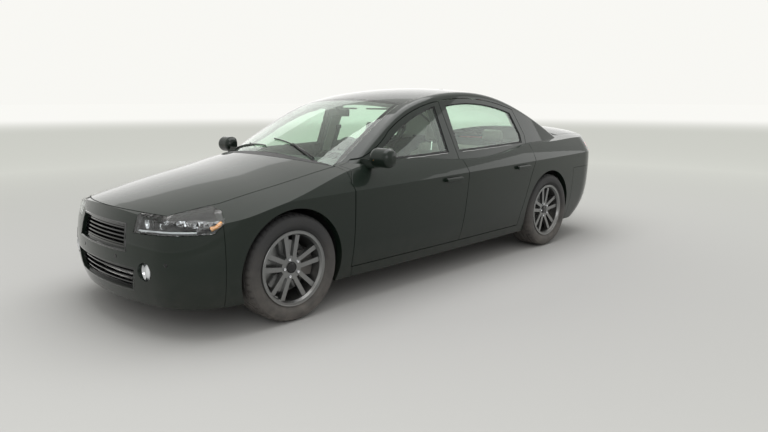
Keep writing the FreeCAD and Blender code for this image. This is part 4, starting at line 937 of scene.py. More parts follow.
for label, (corners, radius) in FRAMES.items():
    outline = []
    for a, b in zip(corners, corners[1:] + corners[:1]):
        outline += between(a, b, 10 if abs(b[0] - a[0]) > 0.2 else 4)
    found = [on_nose("front_bumper", y * 1.012, z) for y, z in outline]
    points = [f[0] - Vector((0.004, 0, 0)) for f in found if f and f[0].x > 2.3]
    on_car(rod(f"grille_frame_{label}", points, radius, closed=True), gloss_black)

# %% Lattice behind the slats
LATTICES = {"upper": (0.497, 0.643, 0.325), "lower": (0.268, 0.402, 0.41)}  # low, high, half width
for label, (low_z, high_z, half_y) in LATTICES.items():
    bpy.ops.object.select_all(action="DESELECT")
    bpy.ops.mesh.primitive_grid_add(x_subdivisions=10, y_subdivisions=44, size=1)
    lattice = bpy.context.object
    lattice.rotation_euler = (0, math.radians(90), 0)
    lattice.scale = (high_z - low_z, 2 * half_y, 1)
    lattice.location = (2.312, 0, (low_z + high_z) / 2)
    settle(lattice, f"grille_lattice_{label}")
    on_car(modify(lattice, "WIREFRAME", thickness=0.0022), black_plastic)

# %% Fog lamps in their pockets
FOG_RING = [(-0.01, 0.052), (0.012, 0.052), (0.014, 0.050), (0.002, 0.041), (-0.008, 0.036)]
FOG_RING += [(-0.01, 0.052)]
FOG_LENS = [(-0.008, 0.0405), (0.001, 0.0395), (0.007, 0.030), (0.010, 0.016), (0.011, 0.0001)]
for side_name, side in SIDES:
    centre = Vector((2.362, side * 0.505, 0.392))
    on_car(lengthways(f"fog_bezel_{side_name}", FOG_RING, centre, 40), chrome)
    on_car(lengthways(f"fog_lens_{side_name}", FOG_LENS, centre, 40), frosted)

# %% Strip and lamps over the plate field
# No plate is fitted, because the picture shows none. The strip that hides its two lamps is there.
STRIP_Z = 0.872
places = [on_tail("trunk_lid", y, STRIP_Z) for y in (-0.30, -0.2, -0.1, 0.0, 0.1, 0.2, 0.30)]
garnish = rod("lid_strip", [f[0] - Vector((0.001, 0, 0)) for f in places if f], 0.009, sides=4)
finish_piece(garnish, "trunk_body", dark_chrome)
lid_lamps = []
for number, y in enumerate((-0.12, 0.12)):
    x = on_tail("trunk_lid", y, STRIP_Z - 0.014)[0].x
    zs = (STRIP_Z - 0.018, STRIP_Z - 0.009)
    lid_lamp = block(f"lid_lamp_{number}", (x - 0.007, x + 0.004), (y - 0.022, y + 0.022), zs)
    lid_lamps.append(rounded(lid_lamp, 0.002, 2))
finish_piece(joined("lid_lamps", *lid_lamps), "trunk_body", frosted)

# %% Mirror glass and turn lights
for side_name, side in SIDES:
    body = f"front_door_{side_name}"
    low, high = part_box(f"mirror_{side_name}")
    reach = high.y if side > 0 else -low.y
    z_mid = (max(low.z, high.z - 0.132) + high.z) / 2
    ys, zs = (side * 0.884, side * reach - side * 0.016), (z_mid - 0.047, z_mid + 0.047)
    pane = block(f"mirror_glass_{side_name}", (low.x + 0.0015, low.x + 0.005), ys, zs)
    finish_piece(round_edges(pane, 0, 0.036, 8), body, mirror_metal)
    places = ((0.088, 0.93), (0.084, 0.965), (0.074, 1.0), (0.058, 1.028))
    points = [(low.x + x, side * y, z_mid - 0.012) for x, y in places]
    finish_piece(rod(f"mirror_turn_light_{side_name}", points, 0.0055), body, amber)

# %% [markdown]
# ## Wipers
# Two wiper arms lie across the foot of the windscreen: a tapered arm from a capped spindle, a
# thin blade frame and a rubber edge that touches the glass.

# %% Wipers
WIPER_CAP = [(-0.012, 0.017), (0.014, 0.016), (0.019, 0.012), (0.021, 0.0001)]


def on_glass(x, y, lift):
    found = on_top("windshield", x, y)
    return found[0] + found[1] * lift if found else Vector((x, y, 0.93))


for label, pivot_y, tip_y in (("left", 0.52, -0.06), ("right", -0.06, -0.60)):
    ys = [pivot_y - 0.03 + (tip_y - pivot_y) * k / 8 for k in range(9)]
    xs = [1.118 - 0.085 * k / 8 for k in range(9)]
    blade_points = [on_glass(x, y, 0.008) for x, y in zip(xs, ys)]
    edge_points = [on_glass(x, y, 0.003) for x, y in zip(xs, ys)]
    cowl = on_top("cowls", 1.15, pivot_y)
    spindle = Vector((1.135, pivot_y, cowl[0].z if cowl else 0.93))
    base = spindle + Vector((0, 0, 0.012))
    middle = blade_points[4] + Vector((0.0, 0.0, 0.008))
    bend = base * 0.6 + middle * 0.4 + Vector((0.008, 0, 0.006))
    on_car(rod(f"wiper_blade_{label}", blade_points, 0.0045), gloss_black)
    on_car(rod(f"wiper_arm_{label}", [base, bend, middle], 0.006), gloss_black)
    on_car(upright(f"wiper_cap_{label}", WIPER_CAP, spindle, 24), gloss_black)
    on_car(rod(f"wiper_rubber_{label}", edge_points, 0.0028, sides=2), seal_rubber)

# %% [markdown]
# ## Seats
# A car seat is foam inside a sewn cover, so each pad starts as joined blocks (base and side
# bolsters), slightly small, and is then blown up as cloth with its seams held. The panels swell
# between the seams as they do on a real seat. Cloth is used because a modelled crown is too even.

# %% Cloth
CLOTH_FRAMES = 20
CLOTH_SETTINGS = {
    "quality": 4, "mass": 0.25, "tension_stiffness": 18, "compression_stiffness": 18,
    "shear_stiffness": 8, "bending_stiffness": 0.6, "use_pressure": True,
    "uniform_pressure_force": 4.0, "vertex_group_mass": "Sewn",
}


def blown(obj, voxel, cap, sewn):
    """Remeshes a closed shape, swells it as cloth with its sewn lines held, and applies it."""
    only(obj)
    obj.data.remesh_voxel_size = voxel
    bpy.ops.object.voxel_remesh()
    start = [v.co.copy() for v in obj.data.vertices]
    held = obj.vertex_groups.new(name="Sewn")
    seams = [v.index for v in obj.data.vertices if sewn(v.co, v.normal, voxel * 0.55)]
    held.add(seams, 1.0, "REPLACE")
    m = obj.modifiers.new("Cloth", "CLOTH")
    for key, value in CLOTH_SETTINGS.items():
        setattr(m.settings, key, value)
    m.settings.effector_weights.gravity = 0.0
    m.point_cache.frame_start = 1
    m.point_cache.frame_end = CLOTH_FRAMES
    scene = bpy.context.scene
    for number in range(1, CLOTH_FRAMES + 1):
        scene.frame_set(number)
        bpy.context.view_layer.update()
    only(obj)
    bpy.ops.object.modifier_apply(modifier="Cloth")
    scene.frame_set(1)
    most = 0.0
    for v, before in zip(obj.data.vertices, start):
        step = v.co - before
        most = max(most, step.length)
        if step.length > cap:
            v.co = before + step * (cap / step.length)
    obj.vertex_groups.clear()
    print(f"{obj.name}: {len(start)} points, moved up to {most * 1000:.0f} mm, cap {cap * 1000:.0f} mm")
    modify(obj, "SMOOTH", factor=0.5, iterations=2)
    return modify(obj, "SUBSURF", levels=1, render_levels=1)


# %% Pad shapes
# Each pad is made in its own frame, with its front at x = 0 and its foot at z = 0. Seams part its
# panels side by side, and cross seams run across each panel.
def near(value, lines, reach):
    return any(abs(value - seam_at) < reach for seam_at in lines)


def within(value, panels):
    return any(low < value < high for low, high in panels)


def cushion(name, depth, height, half, seat, rolls):
    """A sitting pad. Each roll is (from, to) across and its top."""
    xs, ys = (-depth + 0.006, -0.008), (-half + 0.006, half - 0.006)
    shapes = [rounded(block(f"{name}_base", xs, ys, (0.004, height - 0.030)), 0.030)]
    for number, (low, high, top) in enumerate(rolls):
        piece = block(f"{name}_roll_{number}", (-depth + 0.010, -0.010), (low, high), (0.02, top))
        shapes.append(rounded(piece, 0.024))

    def sewn(c, n, reach):
        if c.z < 0.03 or n.z > 0.35 and near(c.y, seat["seams"], reach):
            return True
        if n.z > 0.5 and within(c.y, seat["panels"]) and near(c.x, seat["cushion_cross"], reach):
            return True
        return abs(n.z) < 0.6 and near(c.z, (height - 0.055,), reach)

    return blown(joined(name, *shapes), seat["voxel"], seat["cap"], sewn)


def backrest(name, depth, height, half, seat, rolls):
    """A pad to lean on. Each roll is (from, to) across and its front."""
    xs, ys = (-depth + 0.004, -0.028), (-half + 0.006, half - 0.006)
    shapes = [rounded(block(f"{name}_base", xs, ys, (0.006, height - 0.006)), 0.030)]
    for number, (low, high, front) in enumerate(rolls):
        xs = (-depth + 0.02, front)
        piece = block(f"{name}_roll_{number}", xs, (low, high), (0.012, height - 0.03))
        shapes.append(rounded(piece, 0.022))

    def sewn(c, n, reach):
        if c.x < -depth + 0.02 or n.x > 0.35 and near(c.y, seat["seams"], reach):
            return True
        if n.x > 0.5 and within(c.y, seat["panels"]) and near(c.z, seat["back_cross"], reach):
            return True
        return abs(n.x) < 0.6 and near(c.x, (-0.055,), reach)

    return blown(joined(name, *shapes), seat["voxel"], seat["cap"], sewn)


def headrest(name, depth, width, height, cap):
    xs, ys = (-depth + 0.008, -0.008), (-width / 2 + 0.008, width / 2 - 0.008)
    obj = rounded(block(name, xs, ys, (0.008, height - 0.008)), 0.026, 4)
    edges = (-width / 2 + 0.034, width / 2 - 0.034)

    def sewn(c, n, reach):
        return near(c.y, edges, reach) or near(c.x, (-depth + 0.025,), reach)

    return blown(obj, 0.008, cap, sewn)


# %% Where the pads stand
SEAT_Y, REAR_HEAD_Y = 0.385, 0.33
FRONT_CUSHION = ((0.418, SEAT_Y, 0.33), 4)  # foot and lean in degrees, left side
FRONT_BACK = ((-0.032, SEAT_Y, 0.40), 22)
FRONT_HEAD = ((-0.270, SEAT_Y, 1.01), 14)
BENCH = ((-0.482, 0, 0.33), 5)
REAR_BACK = ((-0.952, 0, 0.43), 24)
REAR_HEAD = ((-1.174, REAR_HEAD_Y, 0.96), 10)
FRONT_SEAT = {
    "seams": (-0.155, 0.155), "panels": [(-0.15, 0.15)], "voxel": 0.010, "cap": 0.014,
    "cushion_cross": (-0.10, -0.20, -0.30, -0.40), "back_cross": (0.12, 0.22, 0.32, 0.42),
}
REAR_SEAT = {
    "seams": (-0.545, -0.205, 0.205, 0.545), "panels": [(-0.54, -0.21), (0.21, 0.54)],
    "voxel": 0.012, "cap": 0.016,
    "cushion_cross": (-0.12, -0.24, -0.36), "back_cross": (0.14, 0.28, 0.42),
}


def pad_place(foot, lean, side=1):
    x, y, z = foot
    return Matrix.Translation((x, side * y, z)) @ Matrix.Rotation(math.radians(-lean), 4, "Y")


def upholstered(piece):
    on_car(piece, seat_hide, 60)


# %% Front seats
rolls = [(-0.244, -0.160, 0.142), (0.160, 0.244, 0.142)]
front_cushion = cushion("front_cushion_left", 0.50, 0.150, 0.25, FRONT_SEAT, rolls)
rolls = [(-0.244, -0.160, -0.006), (0.160, 0.244, -0.006)]
front_back = backrest("front_backrest_left", 0.12, 0.60, 0.25, FRONT_SEAT, rolls)
front_head = headrest("front_headrest_left", 0.09, 0.25, 0.165, 0.010)
for piece, place in (
    (front_cushion, FRONT_CUSHION), (front_back, FRONT_BACK), (front_head, FRONT_HEAD),
):
    piece.data.transform(pad_place(*place))
    right = copy_of(piece, piece.name.replace("left", "right"), MIRROR_Y)
    upholstered(piece)
    upholstered(right)
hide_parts("front_seats")

# %% Rear seat
rolls = [(-0.584, -0.55, 0.150), (0.55, 0.584, 0.150), (-0.54, -0.21, 0.142), (0.21, 0.54, 0.142)]
bench = cushion("rear_cushion", 0.48, 0.165, 0.59, REAR_SEAT, rolls)
rolls = [(-0.584, -0.55, -0.008), (0.55, 0.584, -0.008)]
rolls += [(-0.54, -0.21, -0.016), (0.21, 0.54, -0.016)]
rear_back = backrest("rear_backrest", 0.13, 0.56, 0.59, REAR_SEAT, rolls)
rear_head = headrest("rear_headrest_left", 0.08, 0.23, 0.13, 0.009)
for piece, place in ((bench, BENCH), (rear_back, REAR_BACK), (rear_head, REAR_HEAD)):
    piece.data.transform(pad_place(*place))
    upholstered(piece)
upholstered(copy_of(rear_head, "rear_headrest_right", MIRROR_Y))
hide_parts("rear_seat")

# %% [markdown]
# ### What holds the pads
# Under each front seat is a steel frame on two rails, with plastic side covers and a rear shell.
# Headrests stand on two bright posts. The stitched seams carry a thin piping that is laid on the
# swollen pad by ray casts, so it follows the cloth wherever it went.


# %% Piping
def line(fixed, low, high, count=12):
    """Points on a straight line. None in fixed marks the coordinate that moves."""
    steps = [low + (high - low) * k / (count - 1) for k in range(count)]
    return [[step if v is None else v for v in fixed] for step in steps]


def piping(name, obj, place, along, lines):
    """Thin welts on a pad. The lines and the direction are in the pad's own frame."""
    to_car, tree = pad_place(*place), tree_of(obj)
    towards = to_car.to_3x3() @ Vector(along)
    made = []
    for number, points in enumerate(lines):
        hits = [tree.ray_cast(to_car @ Vector(p), towards) for p in points]
        laid = [hit[0] + hit[1] * 0.0008 for hit in hits if hit[0]]
        if len(laid) > 2:
            made.append(rod(f"{name}_{number}", laid, 0.0022, sides=2))
    return joined(name, *made)


def seat_piping(name, cushion_pad, back_pad, places, seat, cushion_ends, back_ends):
    lines = [line((None, y, 0.30), *cushion_ends) for y in seat["seams"]]
    lines += [line((x, None, 0.30), *ends) for x in seat["cushion_cross"] for ends in seat["panels"]]
    below = piping(f"{name}_cushion_welt", cushion_pad, places[0], DOWN, lines)
    lines = [line((0.3, y, None), *back_ends) for y in seat["seams"]]
    lines += [line((0.3, None, z), *ends) for z in seat["back_cross"] for ends in seat["panels"]]
    behind = piping(f"{name}_backrest_welt", back_pad, places[1], (-1, 0, 0), lines)
    return below, behind


welts = seat_piping(
    "front", front_cushion, front_back, (FRONT_CUSHION, FRONT_BACK), FRONT_SEAT,
    (-0.44, -0.03), (0.05, 0.56),
)
pair_on_car(joined("front_seat_piping_left", *welts), piping_thread)
welts = seat_piping(
    "rear", bench, rear_back, (BENCH, REAR_BACK), REAR_SEAT, (-0.42, -0.03), (0.06, 0.52)
)
on_car(joined("rear_seat_piping", *welts), piping_thread)

# %% Frames, rails, shells and posts
for side_name, side in SIDES:
    y = side * SEAT_Y
    shell = block(f"seat_shell_{side_name}", (-0.128, -0.104), (-0.225, 0.225), (0.02, 0.56))
    rounded(stepped(shell, 0, -1, (0.035, 0.0), (0.006, -0.006)), 0.008)
    shell.data.transform(pad_place(*FRONT_BACK, side))
    on_car(shell, soft_mould)
    rails = []
    for number, off in enumerate((-0.17, 0.17)):
        ys = (y + off - 0.02, y + off + 0.02)
        rail = block(f"seat_rail_{side_name}_{number}", (-0.10, 0.40), ys, (0.222, 0.240))
        rails.append(rounded(raised(rail, 2, 1, 0.008, (0, 0, 0.014)), 0.002, 2))
    for number, (x, off) in enumerate(((0.34, -0.17), (0.34, 0.17), (0.0, -0.17), (0.0, 0.17))):
        xs, ys = (x - 0.03, x + 0.03), (y + off - 0.008, y + off + 0.008)
        leg = block(f"seat_leg_{side_name}_{number}", xs, ys, (0.235, 0.352))
        rails.append(rounded(leg, 0.003, 2))
    on_car(joined(f"seat_frame_{side_name}", *rails), cast_iron)
    ys = (y + side * 0.222, y + side * 0.240)
    cover = block(f"seat_side_cover_{side_name}", (-0.06, 0.36), ys, (0.262, 0.352))
    on_car(rounded(stepped(cover, 1, side, (0.012, -0.003)), 0.006), soft_mould)
    places = ((0.02, 0.240, 0.315), (0.05, 0.248, 0.318), (0.14, 0.250, 0.322))
    points = [(x, y + side * out, z) for x, out, z in places]
    on_car(rod(f"seat_lever_{side_name}", points, 0.008), black_plastic)
    posts = []
    for off in (-0.05, 0.05):
        head_y = side * REAR_HEAD_Y
        for label, low_point, high_point in (
            (
                "headrest",
                pad_place(*FRONT_BACK, side) @ Vector((-0.06, off, 0.585)),
                pad_place(*FRONT_HEAD, side) @ Vector((-0.045, off, 0.03)),
            ),
            (
                "rear",
                pad_place(*REAR_BACK) @ Vector((-0.07, head_y + off, 0.54)),
                pad_place(*REAR_HEAD, side) @ Vector((-0.04, off, 0.02)),
            ),
        ):
            points = [low_point, low_point.lerp(high_point, 0.5), high_point]
            posts.append(rod(f"{label}_post_{side_name}_{off}", points, 0.006))
    on_car(joined(f"headrest_posts_{side_name}", *posts), chrome)

# %% [markdown]
# ## Cabin
# Linings are sheets cut from the inner faces of the solids and given a thickness, as pressed felt
# and moulded cards are. The smaller pieces are moulded on their own and set on the dashboard,
# doors and roof where a ray meets them, so they sit on the real surface.


# %% Linings
def lining(node_name, label, inwards, body, material, thickness=0.004):
    sheet = thicken(skin_of(node_name, label, inwards), thickness, 1)
    finish_piece(sheet, body, material, 40)


def roof_inside(c, n):
    return n.z < -0.4 and abs(c.y) < 0.56


def cabin_floor(c, n):
    return n.z > 0.4 and -1.25 < c.x < 1.12 and abs(c.y) < 0.72 and c.z < 0.46


def boot_floor(c, n):
    return n.z > 0.6 and c.x < -1.5 and abs(c.y) < 0.7


lining("roof_panel", "headlining", roof_inside, "car_body", headlining)
lining("floor_pan", "cabin_carpet", cabin_floor, "car_body", carpet)
lining("floor_pan", "boot_carpet", boot_floor, "car_body", carpet)
for side_name, side in SIDES:

    def pillar_inside(c, n):
        return n.y * side < -0.45 and c.z > 0.95 and abs(c.y) < 0.78

    def door_inside(c, n):
        return n.y * side < -0.5 and 0.28 < c.z < 0.95

    pillar, label = f"body_side_{side_name}", f"pillar_trims_{side_name}"
    lining(pillar, label, pillar_inside, "car_body", headlining, 0.003)
    for end in ("front", "rear"):
        door, label = f"door_{end}_{side_name}", f"door_card_{end}_{side_name}"
        lining(door, label, door_inside, f"{end}_door_{side_name}", soft_mould, 0.005)

# %% Door furniture
SPEAKER = [(0.0, 0.078), (0.007, 0.076), (0.009, 0.071), (0.006, 0.067), (0.008, 0.05)]
SPEAKER += [(0.009, 0.025), (0.0095, 0.0001)]
DOORS = (  # ends of the armrest, switches, place of the speaker
    ("front", 0.12, 0.66, 4, 0.36, 0.43),
    ("rear", -0.86, -0.36, 1, 0.30, 0.44),
)


def inner(node_name, x, z, side):
    return touch(node_name, (x, side * 0.2, z), (0, side, 0))


for side_name, side in SIDES:
    for end, x0, x1, switch_count, speaker_x, speaker_z in DOORS:
        door, body, label = f"door_{end}_{side_name}", f"{end}_door_{side_name}", f"{end}_{side_name}"
        y = inner(door, (x0 + x1) / 2, 0.66, side)[0].y - side * 0.004
        arm = block(f"armrest_{label}", (x0, x1), (y, y - side * 0.058), (0.628, 0.668))
        round_edges(arm, 2, 0.03, 6, lambda c: (c.y - y) * side < -0.03)
        finish_piece(rounded(arm, 0.006, 3, 40), body, seat_hide)
        places = ((0.03, 0.0, 0.745), (0.035, 0.022, 0.747), (0.10, 0.026, 0.747))
        places += ((0.125, 0.014, 0.746),)
        points = [(x1 - back, y - side * out, z) for back, out, z in places]
        finish_piece(rod(f"inner_handle_{label}", points, 0.006), body, chrome)
        switches = []
        for k in range(switch_count):
            x = x1 - 0.09 - 0.034 * k
            xs, ys = (x - 0.012, x + 0.012), (y - side * 0.040, y - side * 0.024)
            button = block(f"window_switch_{label}_{k}", xs, ys, (0.666, 0.673))
            switches.append(rounded(button, 0.002, 2))
        finish_piece(joined(f"window_switches_{label}", *switches), body, gloss_black)
        spot = inner(door, x0 + speaker_x, speaker_z, side)
        if spot:
            centre = spot[0] - Vector((0, side * 0.003, 0))
            speaker = turned(f"speaker_{label}", SPEAKER, centre, (0, -side, 0), X, 40)
            finish_piece(speaker, body, black_plastic)

# %% Carpet mats and pedals
MAT_Y = 0.40
for side_name, side in SIDES:
    mats = []
    for number, (x0, x1) in enumerate(((0.46, 0.86), (-0.46, -0.16))):
        z = touch("floor_pan", ((x0 + x1) / 2, side * MAT_Y, 0.6), DOWN)[0].z
        ys = (side * MAT_Y - 0.19, side * MAT_Y + 0.19)
        mat = block(f"mat_{side_name}_{number}", (x0, x1), ys, (z + 0.004, z + 0.011))
        mats.append(stepped(round_edges(mat, 2, 0.045, 6), 2, 1, (0.008, -0.002)))
    on_car(joined(f"floor_mats_{side_name}", *mats), carpet)
PEDAL_LEAN = Matrix.Rotation(math.radians(-28), 4, "Y")
for label, y, width, low in (
    ("throttle", 0.265, 0.05, 0.315),
    ("brake", 0.375, 0.09, 0.36),
    ("rest", 0.52, 0.07, 0.31),
):
    ys = (y - width / 2, y + width / 2)
    pad = block(f"pedal_{label}", (-0.006, 0.006), ys, (-0.04, 0.04))
    edit(pad)
    choose(pad, lambda c, n: n.x < -0.9)
    bpy.ops.mesh.subdivide(number_cuts=3)
    choose(pad, lambda c, n: n.x < -0.9)
    bpy.ops.mesh.inset(thickness=0.003, depth=0.0, use_individual=True)
    extrude((-0.0025, 0, 0))
    leave()
    pad.data.transform(Matrix.Translation((0.985, 0, low + 0.04)) @ PEDAL_LEAN)
    points = [(0.992, y, low + 0.06), (1.03, y, low + 0.16), (1.04, y, 0.64)]
    lever = rod(f"pedal_arm_{label}", points, 0.007)
    on_car(joined(f"{label}_pedal", pad, lever), black_plastic)


# %% Laying pieces on the dashboard
def on_dash(y, z):
    return touch("dashboard", (0.2, y, z), X)


def on_face(obj, place, normal):
    """Turns a piece modelled in the YZ plane, facing -X, so that it lies on a surface."""
    out = Vector(normal).normalized()
    across = Vector(UP).cross(out).normalized()
    upward = out.cross(across)
    turn = Matrix((-out, -across, upward)).transposed().to_4x4()
    obj.data.transform(Matrix.Translation(place) @ turn)
    return obj


# %% Air vents
def vent(name, y, z, half_width, half_height):
    spot = on_dash(y, z)
    ys, zs = (-half_width, half_width), (-half_height, half_height)
    shape = raised(block(name, (-0.006, 0.0), ys, zs), 0, -1, 0.007, (0.005, 0, 0))
    on_car(on_face(rounded(shape, 0.0018, 2), *spot), mirror_metal)
    slats = []
    for k in range(4):
        zz = -half_height + 0.013 + k * (2 * half_height - 0.026) / 3
        ys, zs = (-half_width + 0.008, half_width - 0.008), (zz - 0.0022, zz + 0.0022)
        slats.append(rounded(block(f"{name}_slat_{k}", (-0.0055, -0.001), ys, zs), 0.001, 2))
    knob = block(f"{name}_knob", (-0.009, -0.002), (-0.006, 0.006), (-0.008, 0.008))
    slats.append(rounded(knob, 0.002, 2))
    on_car(on_face(joined(f"{name}_slats", *slats), *spot), gloss_black)


VENTS = ((0.60, 0.052), (0.092, 0.055), (-0.092, 0.055), (-0.60, 0.052))
for number, (y, half_width) in enumerate(VENTS):
    vent(f"air_vent_{number}", y, 0.852, half_width, 0.026)

# %% Centre panel and glove box
DIAL = [(0.0, 0.019), (0.004, 0.019), (0.0055, 0.0175), (0.018, 0.0165), (0.021, 0.0145)]
DIAL += [(0.0205, 0.011), (0.0195, 0.0001)]
place, normal = on_dash(0, 0.74)
panel = block("centre_panel", (-0.006, 0.0), (-0.108, 0.108), (-0.075, 0.075))
rounded(stepped(panel, 0, -1, (0.006, -0.002)), 0.003, 2)
on_car(on_face(panel, place, normal), gloss_black)
controls = []
normal = Vector(normal).normalized()
across = Vector(Y)
upward = normal.cross(across).normalized() * -1
for number, off in enumerate((-0.07, 0.0, 0.07)):
    centre = place + normal * 0.004 + across * off - upward * 0.038
    controls.append(turned(f"dial_{number}", DIAL, centre, normal, across, 32))
for number in range(5):
    key = block(f"key_{number}", (-0.004, 0.004), (-0.015, 0.015), (-0.006, 0.006))
    centre = place + normal * 0.006 + across * (0.038 * (number - 2)) + upward * 0.045
    controls.append(on_face(rounded(key, 0.002, 2), centre, normal))
on_car(joined("centre_controls", *controls), black_plastic)

spot = on_dash(-0.41, 0.74)
lid = block("glove_box_lid", (-0.008, 0.0), (-0.19, 0.19), (-0.06, 0.06))
stepped(round_edges(lid, 0, 0.02, 5), 0, -1, (0.006, -0.0015))
on_car(on_face(lid, *spot), soft_mould)
catch = block("glove_box_catch", (-0.014, -0.006), (-0.032, 0.032), (0.030, 0.044))
on_car(on_face(rounded(catch, 0.004), *spot), chrome)

# %% Instruments under their hood
GAUGE = [(0.0, 0.036), (0.006, 0.036), (0.007, 0.0335), (0.002, 0.0325), (0.0015, 0.006)]
GAUGE += [(0.006, 0.0055), (0.007, 0.0001)]
turns = [math.pi * k / 12 for k in range(13)]
points = [(0.725, 0.385 + 0.165 * math.cos(t), 0.905 + 0.075 * math.sin(t) ** 0.8) for t in turns]
on_car(strip("instrument_hood", points, (0.16, 0, 0.012), 0.008), soft_mould, 60)
back = block("instrument_panel", (0.775, 0.79), (0.235, 0.535), (0.885, 0.962))
on_car(round_edges(back, 0, 0.045, 6, lambda c: c.z > 0.93), gloss_black)
gauges = [
    turned(f"gauge_{number}", GAUGE, (0.776, y, 0.922), (-1, 0, 0), Y, 40)
    for number, y in enumerate((0.315, 0.455))
]
on_car(joined("gauges", *gauges), mirror_metal)

# %% Steering wheel fittings
STALK_TIP = [(0.0, 0.006), (0.004, 0.0105), (0.035, 0.0105), (0.04, 0.007), (0.041, 0.0001)]
WHEEL = Matrix.Translation((0.623, 0.385, 0.905)) @ Matrix.Rotation(math.radians(24), 4, "Y")


def on_column(obj, material):
    obj.data.transform(WHEEL)
    on_car(obj, material)


cover = block("airbag_cover", (-0.022, 0.008), (-0.072, 0.072), (-0.062, 0.058))
on_column(rounded(round_edges(cover, 0, 0.03, 6), 0.008, 4, 40), soft_mould)
stalks = []
for number, sign in enumerate((1, -1)):
    points = [(0.07, sign * 0.03, 0.0), (0.068, sign * 0.10, 0.008), (0.06, sign * 0.19, 0.02)]
    centre = (0.061, sign * 0.175, 0.018)
    stalks.append(rod(f"stalk_{number}", points, 0.007))
    stalks.append(turned(f"stalk_tip_{number}", STALK_TIP, centre, (0, sign, 0), X, 20))
on_column(joined("column_stalks", *stalks), black_plastic)
shroud = block("column_shroud", (0.045, 0.15), (-0.05, 0.05), (-0.06, 0.05))
on_column(round_edges(shroud, 0, 0.024, 5), soft_mould)

# %% Console: gear lever, cup holders, armrest
GAITER = [(0.0, 0.045), (0.012, 0.040), (0.016, 0.041), (0.026, 0.033), (0.030, 0.034)]
GAITER += [(0.042, 0.024), (0.046, 0.025), (0.060, 0.012), (0.061, 0.0001)]
KNOB = [(-0.045, 0.007), (0.0, 0.008), (0.004, 0.018), (0.014, 0.024), (0.030, 0.026)]
KNOB += [(0.044, 0.024), (0.052, 0.016), (0.055, 0.0001)]
CUP = [(0.001, 0.0375), (0.006, 0.037), (0.006, 0.0335), (0.0025, 0.032), (0.0015, 0.0001)]
found = touch("dashboard", (0.45, 0, 1.2), DOWN)
top = found[0].z if found else 0.655
surround = block("gear_surround", (0.36, 0.56), (-0.07, 0.07), (top, top + 0.004))
on_car(round_edges(surround, 2, 0.03, 6), gloss_black)
on_car(upright("gear_gaiter", GAITER, (0.47, 0, top + 0.003), 32), seat_hide)
on_car(upright("gear_knob", KNOB, (0.47, 0, top + 0.10), 32), wheel_hide)
for number, x in enumerate((0.30, 0.215)):
    on_car(upright(f"cup_holder_{number}", CUP, (x, 0, top), 36), black_plastic)
lid = block("console_armrest", (-0.15, 0.14), (-0.09, 0.09), (top, top + 0.055))
on_car(rounded(lid, 0.018, 4), seat_hide)

# %% Rear-view mirror
base = touch("windshield", (0.50, 0, 0.9), UP)[0] + Vector((0, 0, -0.002))
bend, end = base + Vector((-0.02, 0, -0.03)), base + Vector((-0.045, 0, -0.05))
on_car(rod("mirror_stem", [base, bend, end], 0.008), black_plastic)
turn = Matrix.Rotation(math.radians(-6), 4, "Z")
mirror_place = Matrix.Translation(base + Vector((-0.05, 0, -0.055))) @ turn
housing = block("rear_view_mirror", (-0.016, 0.010), (-0.12, 0.12), (-0.030, 0.030))
rounded(housing, 0.010, 4).data.transform(mirror_place)
on_car(housing, black_plastic)
mirror_face = block("rear_view_glass", (-0.0185, -0.0150), (-0.112, 0.112), (-0.024, 0.024))
round_edges(mirror_face, 0, 0.012, 4).data.transform(mirror_place)
on_car(mirror_face, mirror_metal)


# %% Visors and roof lamp
def under_roof(x, y):
    return height_over("roof_panel", x, y, 0.9, 1.25)


for side_name, side in SIDES:
    y = side * 0.30
    places = ((0.30, y - 0.17), (0.30, y + 0.17), (0.14, y))
    z = min(under_roof(*place) for place in places) - 0.014
    visor = block(f"sun_visor_{side_name}", (0.12, 0.29), (y - 0.17, y + 0.17), (z - 0.010, z + 0.002))
    on_car(rounded(round_edges(visor, 2, 0.03, 5), 0.004, 3, 40), headlining)
z = under_roof(0.02, 0) - 0.004
roof_lamp = block("roof_lamp", (-0.03, 0.09), (-0.06, 0.06), (z - 0.014, z))
on_car(rounded(stepped(roof_lamp, 2, -1, (0.012, 0.0), (0.002, -0.002)), 0.003, 2), frosted)

# %% Belts
BELT_HEIGHTS = (1.10, 1.02, 0.94, 0.86, 0.78, 0.70, 0.62, 0.54, 0.46, 0.40)
for side_name, side in SIDES:
    pillar, off_pillar = f"body_side_{side_name}", Vector((0.024, side * 0.010, 0))
    hits = [touch(pillar, (-0.09, side * 0.1, z), (0, side, 0)) for z in BELT_HEIGHTS]
    points = [hit[0] - off_pillar for hit in hits if hit and abs(hit[0].y) < 0.80]
    if len(points) > 2:
        web = strip(f"front_belt_{side_name}", points, (0.048, 0, 0), 0.0014)
        on_car(web, belt_web)
        x, y, z = points[0]
        xs, ys = (x - 0.006, x + 0.054), (y - 0.008, y + 0.008)
        anchor = block(f"belt_guide_{side_name}", xs, ys, (z - 0.004, z + 0.030))
        on_car(rounded(anchor, 0.005), black_plastic)
    y = side * (SEAT_Y - 0.262)
    buckle = block(f"belt_buckle_{side_name}", (-0.005, 0.025), (y - 0.006, y + 0.008), (0.40, 0.50))
    on_car(rounded(buckle, 0.005), black_plastic)
for number, y in enumerate((-0.42, 0.0, 0.42)):
    tongue = block(f"rear_buckle_{number}", (-0.93, -0.905), (y - 0.02, y + 0.02), (0.478, 0.545))
    on_car(rounded(tongue, 0.005), black_plastic)

# %% [markdown]
# ## Under the bonnet, under the car and at the back
# The engine is one heavy block in the solids. Here it gets its moulded cover, filler cap and hoses,
# with the battery, air box and tanks beside it. Springs are wound round dampers where the arms
# meet the body, and the exhaust ends in two rolled tips.


